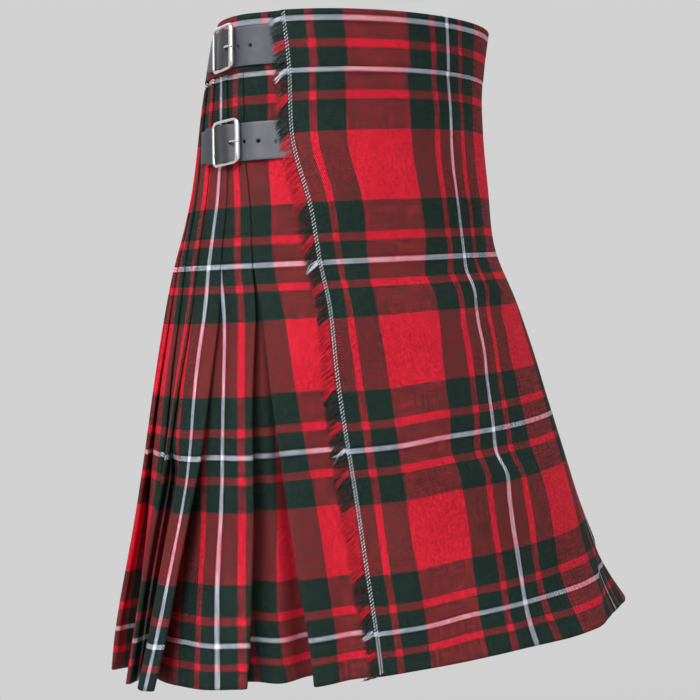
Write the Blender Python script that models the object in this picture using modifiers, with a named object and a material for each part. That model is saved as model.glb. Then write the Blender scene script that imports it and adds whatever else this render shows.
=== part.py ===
"""A knife-pleated kilt of checked wool twill, filled out and open at waist and hem.

Frame: origin in the middle of the waistband's ring, halfway down the band; the wearer
faces -Y, the wearer's right is -X, and +Z is up.  Every wall is laid out in two
distances on the cloth: "below", from the waist edge down the cloth, and "behind", round
the body from the open edge of the over apron towards the wearer's back.
"""
from math import cos, pi, radians, sin

import bmesh
import bpy
import numpy as np
from mathutils import Matrix, Vector

MM = 0.001
KILT = "scottish_kilt"

# Cloth and seams
WALL = 1.2 * MM
BAND_WALL = 2.2 * MM
SEAM = 0.3 * MM
BAND_BOTTOM = 50 * MM
LENGTH = 610 * MM
LEVELS = np.array((50.6, 91, 129, 195, 275, 375, 470, 550, 610)) * MM
BAND_LEVELS = np.array((0, 50)) * MM
BAND_COLUMNS = 40

# Pleats
PLEATS = 20
PLEATS_IN_RIGHT_HALF = 10
PLEAT_OVERLAP = 0.85
LAYER_AT_WAIST = 2.0 * MM
LAYER_AT_HEM = 4.5 * MM
STITCHED_TO = 190 * MM
SPRUNG_AT = 660 * MM
REVERSE_PLEAT = 34 * MM

# Under apron, below the outer apron's surface
UNDER_AT_WAIST = 5.5 * MM
UNDER_LOWER = 4.5 * MM
UNDER_SHORT_OF_FOLD = 6 * MM
UNDER_EASES = (150 * MM, 250 * MM)
UNDER_BAND_PAST_EDGE = 10 * MM
BAND_CLIMBS = (16 * MM, 42 * MM)

# Fringe
FRINGE_STRIP = 3 * MM
FRINGE_REACH = 15 * MM
FRINGE_DROOP = 4 * MM
FRINGE_THICKNESS = 1.0 * MM
FRINGE_LOCKS = 84
LOCK_ROOT_SHARE = 0.62
LOCK_TIP_SHARE = 0.30

# Straps and buckles
STRAP_WIDTH = 34 * MM
STRAP_THICKNESS = 1.6 * MM
STRAP_BEHIND_BUCKLE = 38 * MM
TAB_WIDTH = 30 * MM
TAB_THICKNESS = 1.2 * MM
LEATHER_CLEAR = 0.6 * MM
TAB_FRONT = 3 * MM
TAB_LENGTH = 50 * MM
BUCKLE_WIDTH = 37 * MM
BUCKLE_HEIGHT = 46 * MM
BUCKLE_CORNER = 6 * MM
RAIL_RADIUS = 1.5 * MM
FRONT_BAR_SWELL = 1.6
HEEL_RADIUS = 1.2 * MM
FRAME_ABOVE_CLOTH = 5.1 * MM
HEEL_ABOVE_CLOTH = 3.6 * MM
TONGUE_RADIUS = 0.9 * MM
SLOT_LENGTH = 19 * MM
SLOT_OVER_STRAP = 2 * MM
RIGHT_STRAP_ROOT = -14 * MM
RIGHT_STRAP_RISES = (13 * MM, 38 * MM)
LEFT_STRAP_ROOT = 30 * MM
LEFT_STRAP_RISES = (-24 * MM, -34 * MM)

# The filled-out body, level by level.
FORM_COLUMNS = ("below", "height", "half_width", "half_depth", "back", "front_lift", "right_lift")
FORM = (
    (0, 26, 160, 115, -9, 0, 7),
    (52, -26, 159, 122, 5, 2, 5),
    (110, -84, 160, 128, 13, 3, 1),
    (170, -142, 175, 132, 17, 2, 0),
    (222, -195, 190, 141, 22, 1, 0),
    (260, -230, 204, 150, 19, 1, 0),
    (310, -277, 220, 160, 16, 1, -1),
    (392, -355, 249, 172, 11, 1, -4),
    (480, -435, 265, 192, 8, 2, -3),
    (562, -513, 301, 204, 0, 4, -1),
    (610, -553, 317, 216, -11, 9, 2),
)

# Degrees from straight ahead of the over apron's open edge, on the wearer's right, and of
# its folded edge, on the wearer's left.
EDGE_COLUMNS = ("below", "open_edge", "folded_edge")
EDGES = (
    (0, 80.5, 76),
    (52, 74, 75),
    (110, 71.3, 71),
    (170, 61.9, 64),
    (222, 56.4, 60),
    (260, 54.4, 58),
    (310, 53.4, 56),
    (392, 50.4, 54),
    (480, 49.8, 53),
    (562, 47.4, 52),
    (610, 49.0, 52),
)

# Distance behind the open edge of the reverse pleat's fold and of the first five knife pleats.
FOLD_COLUMNS = ("below", "reverse", "first", "second", "third", "fourth", "fifth")
FOLDS = (
    (50, 42, 46, 69, 95, 121, 145),
    (110, 43, 47, 68, 98, 127, 150),
    (170, 50, 54, 81, 113, 142, 166),
    (222, 55, 60, 94, 126, 152, 179),
    (310, 56, 71, 113, 150, 178, 206),
    (392, 56, 83, 130, 174, 201, 238),
    (480, 56, 95, 157, 206, 236, 271),
    (562, 55, 109, 181, 227, 270, 302),
    (610, 54, 115, 194, 241, 294, 327),
)

# How far each of the first folds springs out at the hem.
SPRING_AT_HEM = np.array((2, 19, 9, -12, 3)) * MM
REVERSE_SPRING_AT_HEM = 12 * MM

# Bowls and bellies of the first pleats at the hem: share of the pleat, depth in mm.
BOWLS = {
    0: ((0, 0), (0.22, -2.5), (0.69, -5), (1, 2)),
    1: ((0, 0), (0.17, -4), (0.74, -1), (1, 0)),
    3: ((0, 0), (1, 12)),
}
# How far those pleats run on inside at the hem, and how much deeper they end.
TAILS = {0: (73 * MM, 17 * MM), 1: (20 * MM, 18 * MM), 3: (14 * MM, 8 * MM)}

# Recess of the reverse pleat at the hem: from its seam to its inner fold, depth in mm.
RECESS = ((0, 32), (0.5, 36), (1, 38), (1.5, 15), (2, 30), (3, 32))
RECESS_UNDER_SECOND = 0.55

# The soft flute in the aprons' hem at the wearer's left: share of the apron's width, mm out.
FLUTE = (
    (0, 0),
    (0.1, -3),
    (0.3, -3),
    (0.36, 0),
    (0.432, 5.5),
    (0.493, 6.5),
    (0.53, 6.5),
    (0.56, 4.5),
    (0.619, -2),
    (0.70, -6.5),
    (0.78, -6.5),
    (0.85, -3),
    (0.92, -1),
    (1, 0),
)
FLUTE_TOP = 470 * MM
FLUTE_FULL = 640 * MM
# The flute's crest at the hem, and how far along the apron it lies higher up: below in mm.
CREST_AT_HEM = 0.53
CREST_SLIDES = ((490, 0.3), (530, 0.29), (550, 0.2), (570, 0.12), (590, 0.055), (610, 0))
APRON_SHARES = (0, 0.06, 0.12, 0.18, 0.24, 0.3, 0.36, 0.432, 0.493, 0.53, 0.56,
                0.619, 0.66, 0.70, 0.78, 0.85, 0.92, 0.96, 1)

# Straps: level of the middle, buckle behind the open edge or the folded edge, cloth face.
STRAPS = {
    "waist_right": (30 * MM, 66 * MM, 1.1 * MM),
    "hip_right": (110 * MM, 64 * MM, 0.6 * MM),
    "waist_left": (30 * MM, -62 * MM, 1.1 * MM),
}

COLOURS = {
    "red_check_twill": (0.45, 0.03, 0.05),
    "red_check_fringe": (0.30, 0.03, 0.05),
    "black_leather": (0.05, 0.05, 0.06),
    "nickel": (0.75, 0.74, 0.72),
}


# ---------------------------------------------------------------- curves through tables
def natural_spline(places, values, at):
    """Cubic through each (place, value), with no bend at its two ends."""
    places = np.asarray(places, float)
    values = np.asarray(values, float)
    count = len(places)
    steps = np.diff(places)
    rises = np.diff(values) / steps
    system = np.eye(count)
    bends = np.zeros(count)
    for i in range(1, count - 1):
        system[i, i - 1:i + 2] = steps[i - 1], 2 * (steps[i - 1] + steps[i]), steps[i]
        bends[i] = 6 * (rises[i] - rises[i - 1])
    bends = np.linalg.solve(system, bends)
    at = np.asarray(at, float)
    i = np.clip(np.searchsorted(places, at) - 1, 0, count - 2)
    along = at - places[i]
    slope = rises[i] - steps[i] * (2 * bends[i] + bends[i + 1]) / 6
    cubic = (bends[i + 1] - bends[i]) / (6 * steps[i])
    return values[i] + along * (slope + along * (bends[i] / 2 + along * cubic))


def column(table, names, name, at, unit=MM):
    """The named column of a table whose first column is in millimetres."""
    rows = np.array(table, float)
    return natural_spline(rows[:, 0] * MM, rows[:, names.index(name)] * unit, at)


def straight(table, at):
    """The second column of a two-column table, read in straight lines."""
    rows = np.array(table, float)
    return np.interp(at, rows[:, 0], rows[:, 1])


def ease(value, start, end):
    """0 before start, 1 after end, with level ends between."""
    share = np.clip((value - start) / (end - start), 0, 1)
    return share * share * (3 - 2 * share)


# ---------------------------------------------------------------- the filled-out form
def surface(below, angle, out=0.0):
    """Point on the form: an ellipse at each level, moved out along its normal."""
    below = below + 0 * np.asarray(angle)
    form = {name: column(FORM, FORM_COLUMNS, name, below) for name in FORM_COLUMNS[1:]}
    across = -np.sin(angle) / form["half_width"]
    along = -np.cos(angle) / form["half_depth"]
    out = out / np.hypot(across, along)
    x = -form["half_width"] * np.sin(angle) + out * across
    y = form["back"] - form["half_depth"] * np.cos(angle) + out * along
    z = form["height"] + form["front_lift"] * np.cos(angle) + form["right_lift"] * np.sin(angle)
    return np.stack((x, y, z), -1)


def open_edge(below):
    return np.radians(column(EDGES, EDGE_COLUMNS, "open_edge", below, 1))


def once_round(below):
    """Angles once round from the open edge towards the back, and the distance to each."""
    angles = open_edge(below) + np.linspace(0, 2 * pi, 1081)
    points = surface(below, angles)
    steps = np.linalg.norm(np.diff(points, axis=0), axis=1)
    return angles, np.concatenate(((0,), np.cumsum(steps)))


def at_distance(below, behind, out=0.0):
    """Points at distances behind the open edge, at one level."""
    angles, distances = once_round(below)
    turns = np.floor(behind / distances[-1])
    angle = np.interp(behind - turns * distances[-1], distances, angles) + turns * 2 * pi
    return surface(below, angle, out)


def folded_edge(below):
    """Distance from the open edge, round the back, to the over apron's folded edge."""
    angles, distances = once_round(below)
    angle = 2 * pi - np.radians(column(EDGES, EDGE_COLUMNS, "folded_edge", below, 1))
    return np.interp(angle, angles, distances)


def open_fold(_below):
    """Where distances start for what is measured from the open edge itself."""
    return 0.0


def on_wall(below, behind, out=0.0, start=open_fold):
    """Points on the walls, which run straight between the levels of their sections."""
    levels = np.concatenate((BAND_LEVELS, LEVELS))
    i = int(np.clip(np.searchsorted(levels, below) - 1, 0, len(levels) - 2))
    share = (below - levels[i]) / (levels[i + 1] - levels[i])
    ends = [at_distance(level, start(level) + behind, out) for level in levels[i:i + 2]]
    return ends[0] + (ends[1] - ends[0]) * share


def under_leather(below, side, behind, out=0.0, start=open_fold):
    """Points on a stiff strap: straight across it, from edge (side -1) to edge (side 1)."""
    half = STRAP_WIDTH / 2
    upper = on_wall(below - half, behind, out, start)
    return upper + (on_wall(below + half, behind, out, start) - upper) * (side + 1) / 2


def layer(below):
    return LAYER_AT_WAIST + (LAYER_AT_HEM - LAYER_AT_WAIST) * ease(below, STITCHED_TO, LENGTH)


def splay(below):
    """How far the pleats have sprung open: 0 where they are stitched, 1 at the hem."""
    return ease(below, STITCHED_TO, SPRUNG_AT) / ease(LENGTH, STITCHED_TO, SPRUNG_AT)


# ---------------------------------------------------------------- cross-sections
def fold_places(below):
    """Where each knife pleat's fold lies, then the over apron's folded edge."""
    shown = [column(FOLDS, FOLD_COLUMNS, name, below) for name in FOLD_COLUMNS[2:]]
    hidden = np.linspace(shown[-1], folded_edge(below), PLEATS + 2 - len(shown))
    return np.array(shown[:-1] + list(hidden))


def fold_springs(below):
    springs = np.zeros(PLEATS + 1)
    springs[:len(SPRING_AT_HEM)] = SPRING_AT_HEM * splay(below)
    return springs


def hairpin(place, middle, radius, facing, count=4):
    """A rounded fold, from its lower layer to its upper one, bulging towards facing."""
    turn = np.linspace(-pi / 2, pi / 2, count)
    return [(place + facing * radius * cos(a), middle + radius * sin(a)) for a in turn]


def tail(below, i, places, springs):
    """How far a pleat runs on under the next one, short of the one after, and how it falls."""
    last = i + 2 >= len(places)
    after = places[i + 1] - places[i] if last else places[i + 2] - places[i + 1]
    reach = PLEAT_OVERLAP * after
    fall = 0.0
    if not last:
        knee = springs[i + 2] - 2 * layer(below) - bowl_depth(below, i + 1, 1)
        fall = (springs[i + 1] - knee) / after * reach
    opened = splay(below) if i in TAILS else 0
    reach_at_hem, fall_at_hem = TAILS.get(i, (0, 0))
    return (reach * (1 - opened) + reach_at_hem * opened,
            fall * (1 - opened) + fall_at_hem * opened)


def bowl_depth(below, i, share):
    return straight(BOWLS[i], share) * MM * splay(below) if i in BOWLS else 0.0


def pleat(below, i, places, springs, ends=True):
    """Section of one knife pleat: its fold, its panel, and its inner fold."""
    thick = layer(below)
    points = hairpin(places[i], springs[i] - thick / 2, thick / 2, -1)
    knee = springs[i + 1] - 2 * thick
    if i == 0:
        knee = min(knee, -2 * thick)
    for share, _ in BOWLS.get(i, ((0, 0), (1, 0)))[1:]:
        place = places[i] + (places[i + 1] - places[i]) * share
        plain = springs[i] + (knee - springs[i]) * share
        points.append((place, plain - bowl_depth(below, i, share)))
    reach, fall = tail(below, i, places, springs)
    end = places[i + 1] + reach
    inner = points[-1][1] - (0 if i == PLEATS - 1 else fall)
    if not ends:
        return points + [(end, inner)]
    return points + hairpin(end, inner + thick / 2, thick / 2, 1, 3)


def recess(below):
    """Section of the reverse pleat's inner side, up to the first knife pleat."""
    thick = layer(below)
    opened = splay(below)
    reverse = column(FOLDS, FOLD_COLUMNS, "reverse", below)
    first = column(FOLDS, FOLD_COLUMNS, "first", below)
    flat = under_depth(below) + 2 * thick
    reach = RECESS_UNDER_SECOND * (column(FOLDS, FOLD_COLUMNS, "second", below) - first)
    spots = (reverse - REVERSE_PLEAT, reverse - REVERSE_PLEAT / 2, reverse,
             (reverse + first) / 2, first, first + reach)
    points = []
    for spot, (_, depth) in zip(spots, RECESS):
        points.append((spot, -flat * (1 - opened) - depth * MM * opened))
    last = points.pop()
    return points + hairpin(last[0], last[1] + thick / 2, thick / 2, 1, 3)


def right_back_section(below):
    places = fold_places(below)
    springs = fold_springs(below)
    points = recess(below)
    for i in range(PLEATS_IN_RIGHT_HALF):
        points += pleat(below, i, places, springs, ends=i < PLEATS_IN_RIGHT_HALF - 1)
    return points


def left_back_section(below):
    places = fold_places(below)
    springs = fold_springs(below)
    thick = layer(below)
    joined = right_back_section(below)[-1]
    points = [(joined[0], joined[1] + thick)]
    for i in range(PLEATS_IN_RIGHT_HALF, PLEATS):
        points += pleat(below, i, places, springs, ends=i < PLEATS - 1)
    return points


def flute(below, share):
    """Height of the flute, whose crest runs aslant from the hem towards the wearer's left."""
    crest = CREST_AT_HEM + straight(CREST_SLIDES, below / MM)
    rest = (share - crest) / (1 - crest) * (1 - CREST_AT_HEM)
    along = np.where(share < crest, share / crest * CREST_AT_HEM, CREST_AT_HEM + rest)
    return straight(FLUTE, along) * MM * ease(below, FLUTE_TOP, FLUTE_FULL)


def apron_width(below):
    return once_round(below)[1][-1] - folded_edge(below)


def over_apron_section(below):
    """From the seam inside its left fold, round that fold, to the open edge."""
    thick = layer(below)
    width = apron_width(below)
    places = fold_places(below)
    under_fold = PLEAT_OVERLAP * (places[-1] - places[-2])
    points = [(under_fold - width, -thick)]
    points += hairpin(-width, -thick / 2, thick / 2, -1)
    for share in APRON_SHARES[-2::-1]:
        points.append((-width * share, flute(below, share)))
    return points


def under_depth(below):
    return UNDER_AT_WAIST + (UNDER_LOWER - UNDER_AT_WAIST) * ease(below, *UNDER_EASES)


def under_apron_left(below):
    """Distance in front of the open edge at which the under apron ends."""
    places = fold_places(below)
    return apron_width(below) - PLEAT_OVERLAP * (places[-1] - places[-2]) - UNDER_SHORT_OF_FOLD


def under_apron_section(below):
    """From its free left edge, under the over apron, round the reverse pleat's fold."""
    thick = layer(below)
    depth = under_depth(below)
    reverse = column(FOLDS, FOLD_COLUMNS, "reverse", below)
    left = under_apron_left(below)
    width = apron_width(below)
    points = []
    for share in APRON_SHARES[::-1]:
        if share * width < left - 4 * MM:
            points.append((-share * width, flute(below, share) - depth))
    points = [(-left, -depth)] + points[-(len(APRON_SHARES) - 3):]
    spring = REVERSE_SPRING_AT_HEM * splay(below) - 1 * MM
    for share in (0.35, 0.68):
        rise = ease(share, 0.35, 1.05)
        points.append((reverse * share, -depth + (depth + spring) * rise))
    turned = hairpin(reverse, spring - thick / 2, thick / 2, 1)
    points += turned[::-1]
    opened = splay(below)
    seam_depth = (depth + thick) * (1 - opened) + (RECESS[0][1] * MM - thick) * opened
    for share in (0.5, 1):
        low = spring - thick + (-seam_depth - spring + thick) * share
        points.append((reverse - REVERSE_PLEAT * share, low))
    return points


def band_over_section(below):
    return [(place, 0) for place in np.linspace(-apron_width(below), 0, BAND_COLUMNS)]


def band_under_section(below):
    left = under_apron_left(below)
    return [(place, -UNDER_AT_WAIST) for place in np.linspace(-left, UNDER_BAND_PAST_EDGE, BAND_COLUMNS)]


def band_rise(behind):
    """The band's surface climbs from the under apron's level onto the pleats."""
    return -UNDER_AT_WAIST * (1 - ease(behind, *BAND_CLIMBS))


def band_back_section(below):
    end = folded_edge(below) - SEAM
    climb = np.linspace(UNDER_BAND_PAST_EDGE + SEAM, BAND_CLIMBS[1], 4)
    level = np.linspace(BAND_CLIMBS[1], end, BAND_COLUMNS)[1:]
    return [(place, band_rise(place)) for place in (*climb, *level)]


# ---------------------------------------------------------------- Blender objects
def material(name):
    found = bpy.data.materials.get(name)
    if found:
        return found
    made = bpy.data.materials.new(name)
    made.use_nodes = True
    shader = made.node_tree.nodes["Principled BSDF"]
    shader.inputs["Base Color"].default_value = (*COLOURS[name], 1)
    shader.inputs["Roughness"].default_value = {"nickel": 0.25, "black_leather": 0.5}.get(name, 0.9)
    shader.inputs["Metallic"].default_value = 1.0 if name == "nickel" else 0.0
    return made


def add_object(name, data, finish, collection):
    data.materials.append(material(finish))
    made = bpy.data.objects.new(name, data)
    collection.objects.link(made)
    return made


def thicken(made, thickness):
    shell = made.modifiers.new("wall", "SOLIDIFY")
    shell.thickness = thickness
    shell.offset = 0
    shell.use_even_offset = True
    return made


def grid_mesh(name, rows):
    """Open surface through rows of points, each row as long as the others."""
    high, wide = len(rows), len(rows[0])
    corner = np.arange(high * wide).reshape(high, wide)
    faces = np.stack((corner[:-1, :-1], corner[1:, :-1], corner[1:, 1:], corner[:-1, 1:]), -1)
    mesh = bpy.data.meshes.new(name)
    mesh.from_pydata(np.concatenate(rows).tolist(), [], faces.reshape(-1, 4).tolist())
    mesh.shade_smooth()
    return mesh


def wall(name, section, levels, thickness, finish, collection):
    """A cloth wall: the same section worked out at each level, joined and thickened."""
    rows = []
    for below in levels:
        behind, out = np.array(section(below)).T
        rows.append(at_distance(below, behind, out))
    return thicken(add_object(name, grid_mesh(name, rows), finish, collection), thickness)


def fringe(name, collection):
    """A strip beside the open edge, with a row of locks drawn out of its outer rim."""
    pitch = (LENGTH - 2 * MM) / FRINGE_LOCKS
    points = []
    faces = []
    for i in range(FRINGE_LOCKS):
        top = 1 * MM + i * pitch
        bottom = top + pitch * LOCK_ROOT_SHARE
        middle = (top + bottom) / 2
        reach = FRINGE_REACH * (0.84 + 0.16 * sin(2.4 * i) * cos(0.9 * i))
        halves = [(bottom - top) / 2 * share for share in (0.8, LOCK_TIP_SHARE)]
        bend = middle + FRINGE_DROOP * 0.25
        tip = middle + FRINGE_DROOP * (1 + 0.3 * sin(1.7 * i))
        tip = min(tip, LENGTH - halves[1])
        across = (
            (top, SEAM, 0), (bottom, SEAM, 0), (top, FRINGE_STRIP, 0), (bottom, FRINGE_STRIP, 0),
            (bend - halves[0], reach * 0.6, -0.4 * MM), (bend + halves[0], reach * 0.6, -0.4 * MM),
            (tip - halves[1], reach, -1.1 * MM), (tip + halves[1], reach, -1.1 * MM),
        )
        start = len(points)
        for below, behind, out in across:
            points.append(on_wall(min(below, LENGTH), np.array((behind,)), out)[0].tolist())
        faces += [(start + k, start + k + 1, start + k + 3, start + k + 2) for k in (0, 2, 4)]
        if i:
            before = start - 8
            faces.append((before + 1, start, start + 2, before + 3))
    mesh = bpy.data.meshes.new(name)
    mesh.from_pydata(points, [], faces)
    made = add_object(name, mesh, "red_check_fringe", collection)
    return thicken(made, FRINGE_THICKNESS)


def cloth_frame(below, behind, facing, start):
    """Matrix whose X runs along the strap past the buckle, Y across it and Z out of the cloth."""
    step = 1 * MM
    places = np.array((behind - step, behind, behind + step))
    before, centre, after = under_leather(below, 0, places, 0, start)
    along = Vector((after - before).tolist()).normalized() * facing
    up = Vector((under_leather(below, -1, places, 0, start)[1] - centre).tolist()).normalized()
    out = along.cross(up).normalized()
    if out.dot(Vector((centre[0], centre[1], 0))) < 0:
        out = -out
    frame = Matrix((along, out.cross(along), out)).transposed().to_4x4()
    frame.translation = Vector(centre.tolist())
    return frame


def strap_out(past, cloth_face, root_out, rise):
    """Height of a strap's middle over the cloth: root, rise, front bar, heel bar, rear bar."""
    on_cloth = cloth_face + LEATHER_CLEAR + STRAP_THICKNESS / 2
    on_tab = on_cloth + TAB_THICKNESS + SEAM
    over_heel = cloth_face + HEEL_ABOVE_CLOTH + HEEL_RADIUS + 0.7 * MM + STRAP_THICKNESS / 2
    low = root_out + (on_cloth - root_out) * ease(past, *rise)
    up = ease(past, -14 * MM, -1 * MM)
    down = ease(past, 1 * MM, 14 * MM)
    return low + (over_heel - on_cloth) * up + (on_tab - over_heel) * down


def strap(name, below, behind, facing, start, profile, root, collection):
    """Leather strip lying along the form, with a rounded tip past its buckle."""
    tip = STRAP_BEHIND_BUCKLE
    bends = (-18, -13, -9, -5, -1, 1, 5, 9, 13, 18, 24, 28)
    pasts = list(np.linspace(root, -22 * MM, round((-22 * MM - root) / (5 * MM))))
    pasts += [bend * MM for bend in bends]
    corner = 9 * MM
    pasts += [tip - corner * (1 - sin(radians(turn))) for turn in (15, 35, 55, 75)]
    rows = []
    for side in (-1, -0.5, 0, 0.5, 1):
        row = []
        for past in pasts:
            beyond = max(0, (past - (tip - corner)) / corner)
            narrowed = 1 - corner * (1 - (1 - beyond ** 2) ** 0.5) / (STRAP_WIDTH / 2)
            place = np.array((behind + facing * past,))
            row.append(under_leather(below, side * narrowed, place, profile(past), start)[0])
        rows.append(np.array(row))
    return thicken(add_object(name, grid_mesh(name, rows), "black_leather", collection),
                   STRAP_THICKNESS)


def tab(name, below, behind, facing, start, cloth_face, collection):
    """Leather tab under the strap, from the buckle's heel bar back onto the pleats."""
    out = cloth_face + LEATHER_CLEAR + TAB_THICKNESS / 2
    rows = []
    places = behind + facing * np.linspace(-TAB_FRONT, TAB_LENGTH, 9)
    for side in (-1, 0, 1):
        rows.append(under_leather(below, side * TAB_WIDTH / STRAP_WIDTH, places, out, start))
    return thicken(add_object(name, grid_mesh(name, rows), "black_leather", collection),
                   TAB_THICKNESS)


def tube(name, points, radius, closed, swells, collection, finish="nickel"):
    """A round bar through points, as one welded mesh."""
    curve = bpy.data.curves.new(name, "CURVE")
    curve.dimensions = "3D"
    curve.bevel_depth = radius
    curve.bevel_resolution = 2
    curve.use_fill_caps = not closed
    spline = curve.splines.new("POLY")
    spline.points.add(len(points) - 1)
    spline.points.foreach_set("co", [c for point in points for c in (*point, 1)])
    spline.points.foreach_set("radius", swells)
    spline.use_cyclic_u = closed
    source = bpy.data.objects.new(name + "_curve", curve)
    collection.objects.link(source)
    bpy.context.view_layer.update()
    depsgraph = bpy.context.evaluated_depsgraph_get()
    mesh = bpy.data.meshes.new_from_object(source.evaluated_get(depsgraph))
    bpy.data.objects.remove(source)
    weld(mesh)
    mesh.name = name
    mesh.materials.clear()
    return add_object(name, mesh, finish, collection)


def weld(mesh):
    """Joins a tube's loose caps and seams, with its faces pointing out."""
    work = bmesh.new()
    work.from_mesh(mesh)
    bmesh.ops.remove_doubles(work, verts=work.verts, dist=0.00001)
    bmesh.ops.recalc_face_normals(work, faces=work.faces)
    work.to_mesh(mesh)
    work.free()


def buckle(prefix, frame, cloth_face, collection, cutters):
    """A rounded frame with a stout front bar, a heel bar joined to it, and its tongue."""
    level = cloth_face + FRAME_ABOVE_CLOTH
    half_x = BUCKLE_WIDTH / 2 - RAIL_RADIUS
    half_y = BUCKLE_HEIGHT / 2 - RAIL_RADIUS
    points = []
    swells = []
    for quarter, (side_x, side_y) in enumerate(((1, 1), (-1, 1), (-1, -1), (1, -1))):
        for step in range(4):
            turn = pi / 2 * (quarter + step / 3)
            x = side_x * (half_x - BUCKLE_CORNER) + BUCKLE_CORNER * cos(turn)
            y = side_y * (half_y - BUCKLE_CORNER) + BUCKLE_CORNER * sin(turn)
            points.append((x, y, level))
            swells.append(1 + (FRONT_BAR_SWELL - 1) * ease(-x / half_x, 0.75, 1))
    made = tube(prefix + "_buckle", points, RAIL_RADIUS, True, swells, collection)
    made.matrix_world = frame

    bpy.ops.mesh.primitive_cylinder_add(vertices=8, radius=HEEL_RADIUS, depth=2 * half_y)
    heel = bpy.context.object
    heel.name = prefix + "_heel_cutter"
    heel.data.transform(Matrix.Translation((0, 0, cloth_face + HEEL_ABOVE_CLOTH))
                        @ Matrix.Rotation(pi / 2, 4, "X"))
    heel.matrix_world = frame
    move_to(heel, cutters)
    join = made.modifiers.new("heel", "BOOLEAN")
    join.operation = "UNION"
    join.solver = "EXACT"
    join.object = heel

    top = cloth_face + HEEL_ABOVE_CLOTH + HEEL_RADIUS + STRAP_THICKNESS
    over = max(top + 0.9 * MM, level + RAIL_RADIUS * FRONT_BAR_SWELL) + SEAM + TONGUE_RADIUS
    path = ((-1 * MM, 0, over), (-10 * MM, 0, over), (-half_x, 0, over),
            (-half_x - 3.2 * MM, 0, over - 1.0 * MM))
    tongue = tube(prefix + "_tongue", path, TONGUE_RADIUS, False, (1, 1, 1, 0.7), collection)
    tongue.matrix_world = frame


def move_to(made, collection):
    for old in list(made.users_collection):
        old.objects.unlink(made)
    collection.objects.link(made)
    made.hide_render = True
    made.display_type = "WIRE"


def cut_slot(made, frame, cutters):
    """Slot in the left waistband through which the under apron's strap comes out."""
    bpy.ops.mesh.primitive_cube_add(size=1)
    cutter = bpy.context.object
    cutter.name = "strap_slot_cutter"
    height = STRAP_WIDTH + 2 * SLOT_OVER_STRAP
    cutter.data.transform(Matrix.Diagonal((SLOT_LENGTH, height, 8 * BAND_WALL, 1)))
    cutter.matrix_world = frame
    move_to(cutter, cutters)
    cut = made.modifiers.new("slot", "BOOLEAN")
    cut.operation = "DIFFERENCE"
    cut.solver = "EXACT"
    cut.object = cutter


def straps_and_buckles(back_band, collection, cutters):
    for prefix, (below, offset, cloth_face) in STRAPS.items():
        right = offset > 0
        facing = 1 if right else -1
        start = open_fold if right else folded_edge
        places = (RIGHT_STRAP_ROOT, *RIGHT_STRAP_RISES) if right else (LEFT_STRAP_ROOT, *LEFT_STRAP_RISES)
        root, *rise = [facing * (place - offset) for place in places]
        under_face = BAND_WALL / 2 if below < BAND_BOTTOM else WALL / 2
        root_out = -UNDER_AT_WAIST + under_face + LEATHER_CLEAR + STRAP_THICKNESS / 2

        def profile(past, face=cloth_face, low=root_out, climb=rise):
            return strap_out(past, face, low, climb)

        strap(prefix + "_strap", below, offset, facing, start, profile, root, collection)
        tab(prefix + "_tab", below, offset, facing, start, cloth_face, collection)
        frame = cloth_frame(below, offset, facing, start)
        buckle(prefix, frame, cloth_face, collection, cutters)
        if not right:
            through = offset + facing * sum(rise) / 2
            cut_slot(back_band, cloth_frame(below, through, facing, start), cutters)


def clear_scene():
    for old in list(bpy.data.objects):
        bpy.data.objects.remove(old)


def new_collection(name):
    made = bpy.data.collections.new(name)
    bpy.context.scene.collection.children.link(made)
    return made


def main():
    clear_scene()
    kilt = new_collection(KILT)
    cutters = new_collection("cutters")
    twill = "red_check_twill"
    wall("over_apron", over_apron_section, LEVELS, WALL, twill, kilt)
    wall("under_apron", under_apron_section, LEVELS, WALL, twill, kilt)
    wall("pleated_back_right", right_back_section, LEVELS, WALL, twill, kilt)
    wall("pleated_back_left", left_back_section, LEVELS, WALL, twill, kilt)
    wall("waistband_over", band_over_section, BAND_LEVELS, BAND_WALL, twill, kilt)
    wall("waistband_under", band_under_section, BAND_LEVELS, BAND_WALL, twill, kilt)
    back_band = wall("waistband_back", band_back_section, BAND_LEVELS, BAND_WALL, twill, kilt)
    fringe("apron_fringe", kilt)
    straps_and_buckles(back_band, kilt, cutters)


main()
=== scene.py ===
from math import pi, radians

import bmesh
import bpy
import numpy as np
from bpy.props import FloatProperty, FloatVectorProperty, IntProperty, PointerProperty
from mathutils import Matrix, Vector


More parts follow.
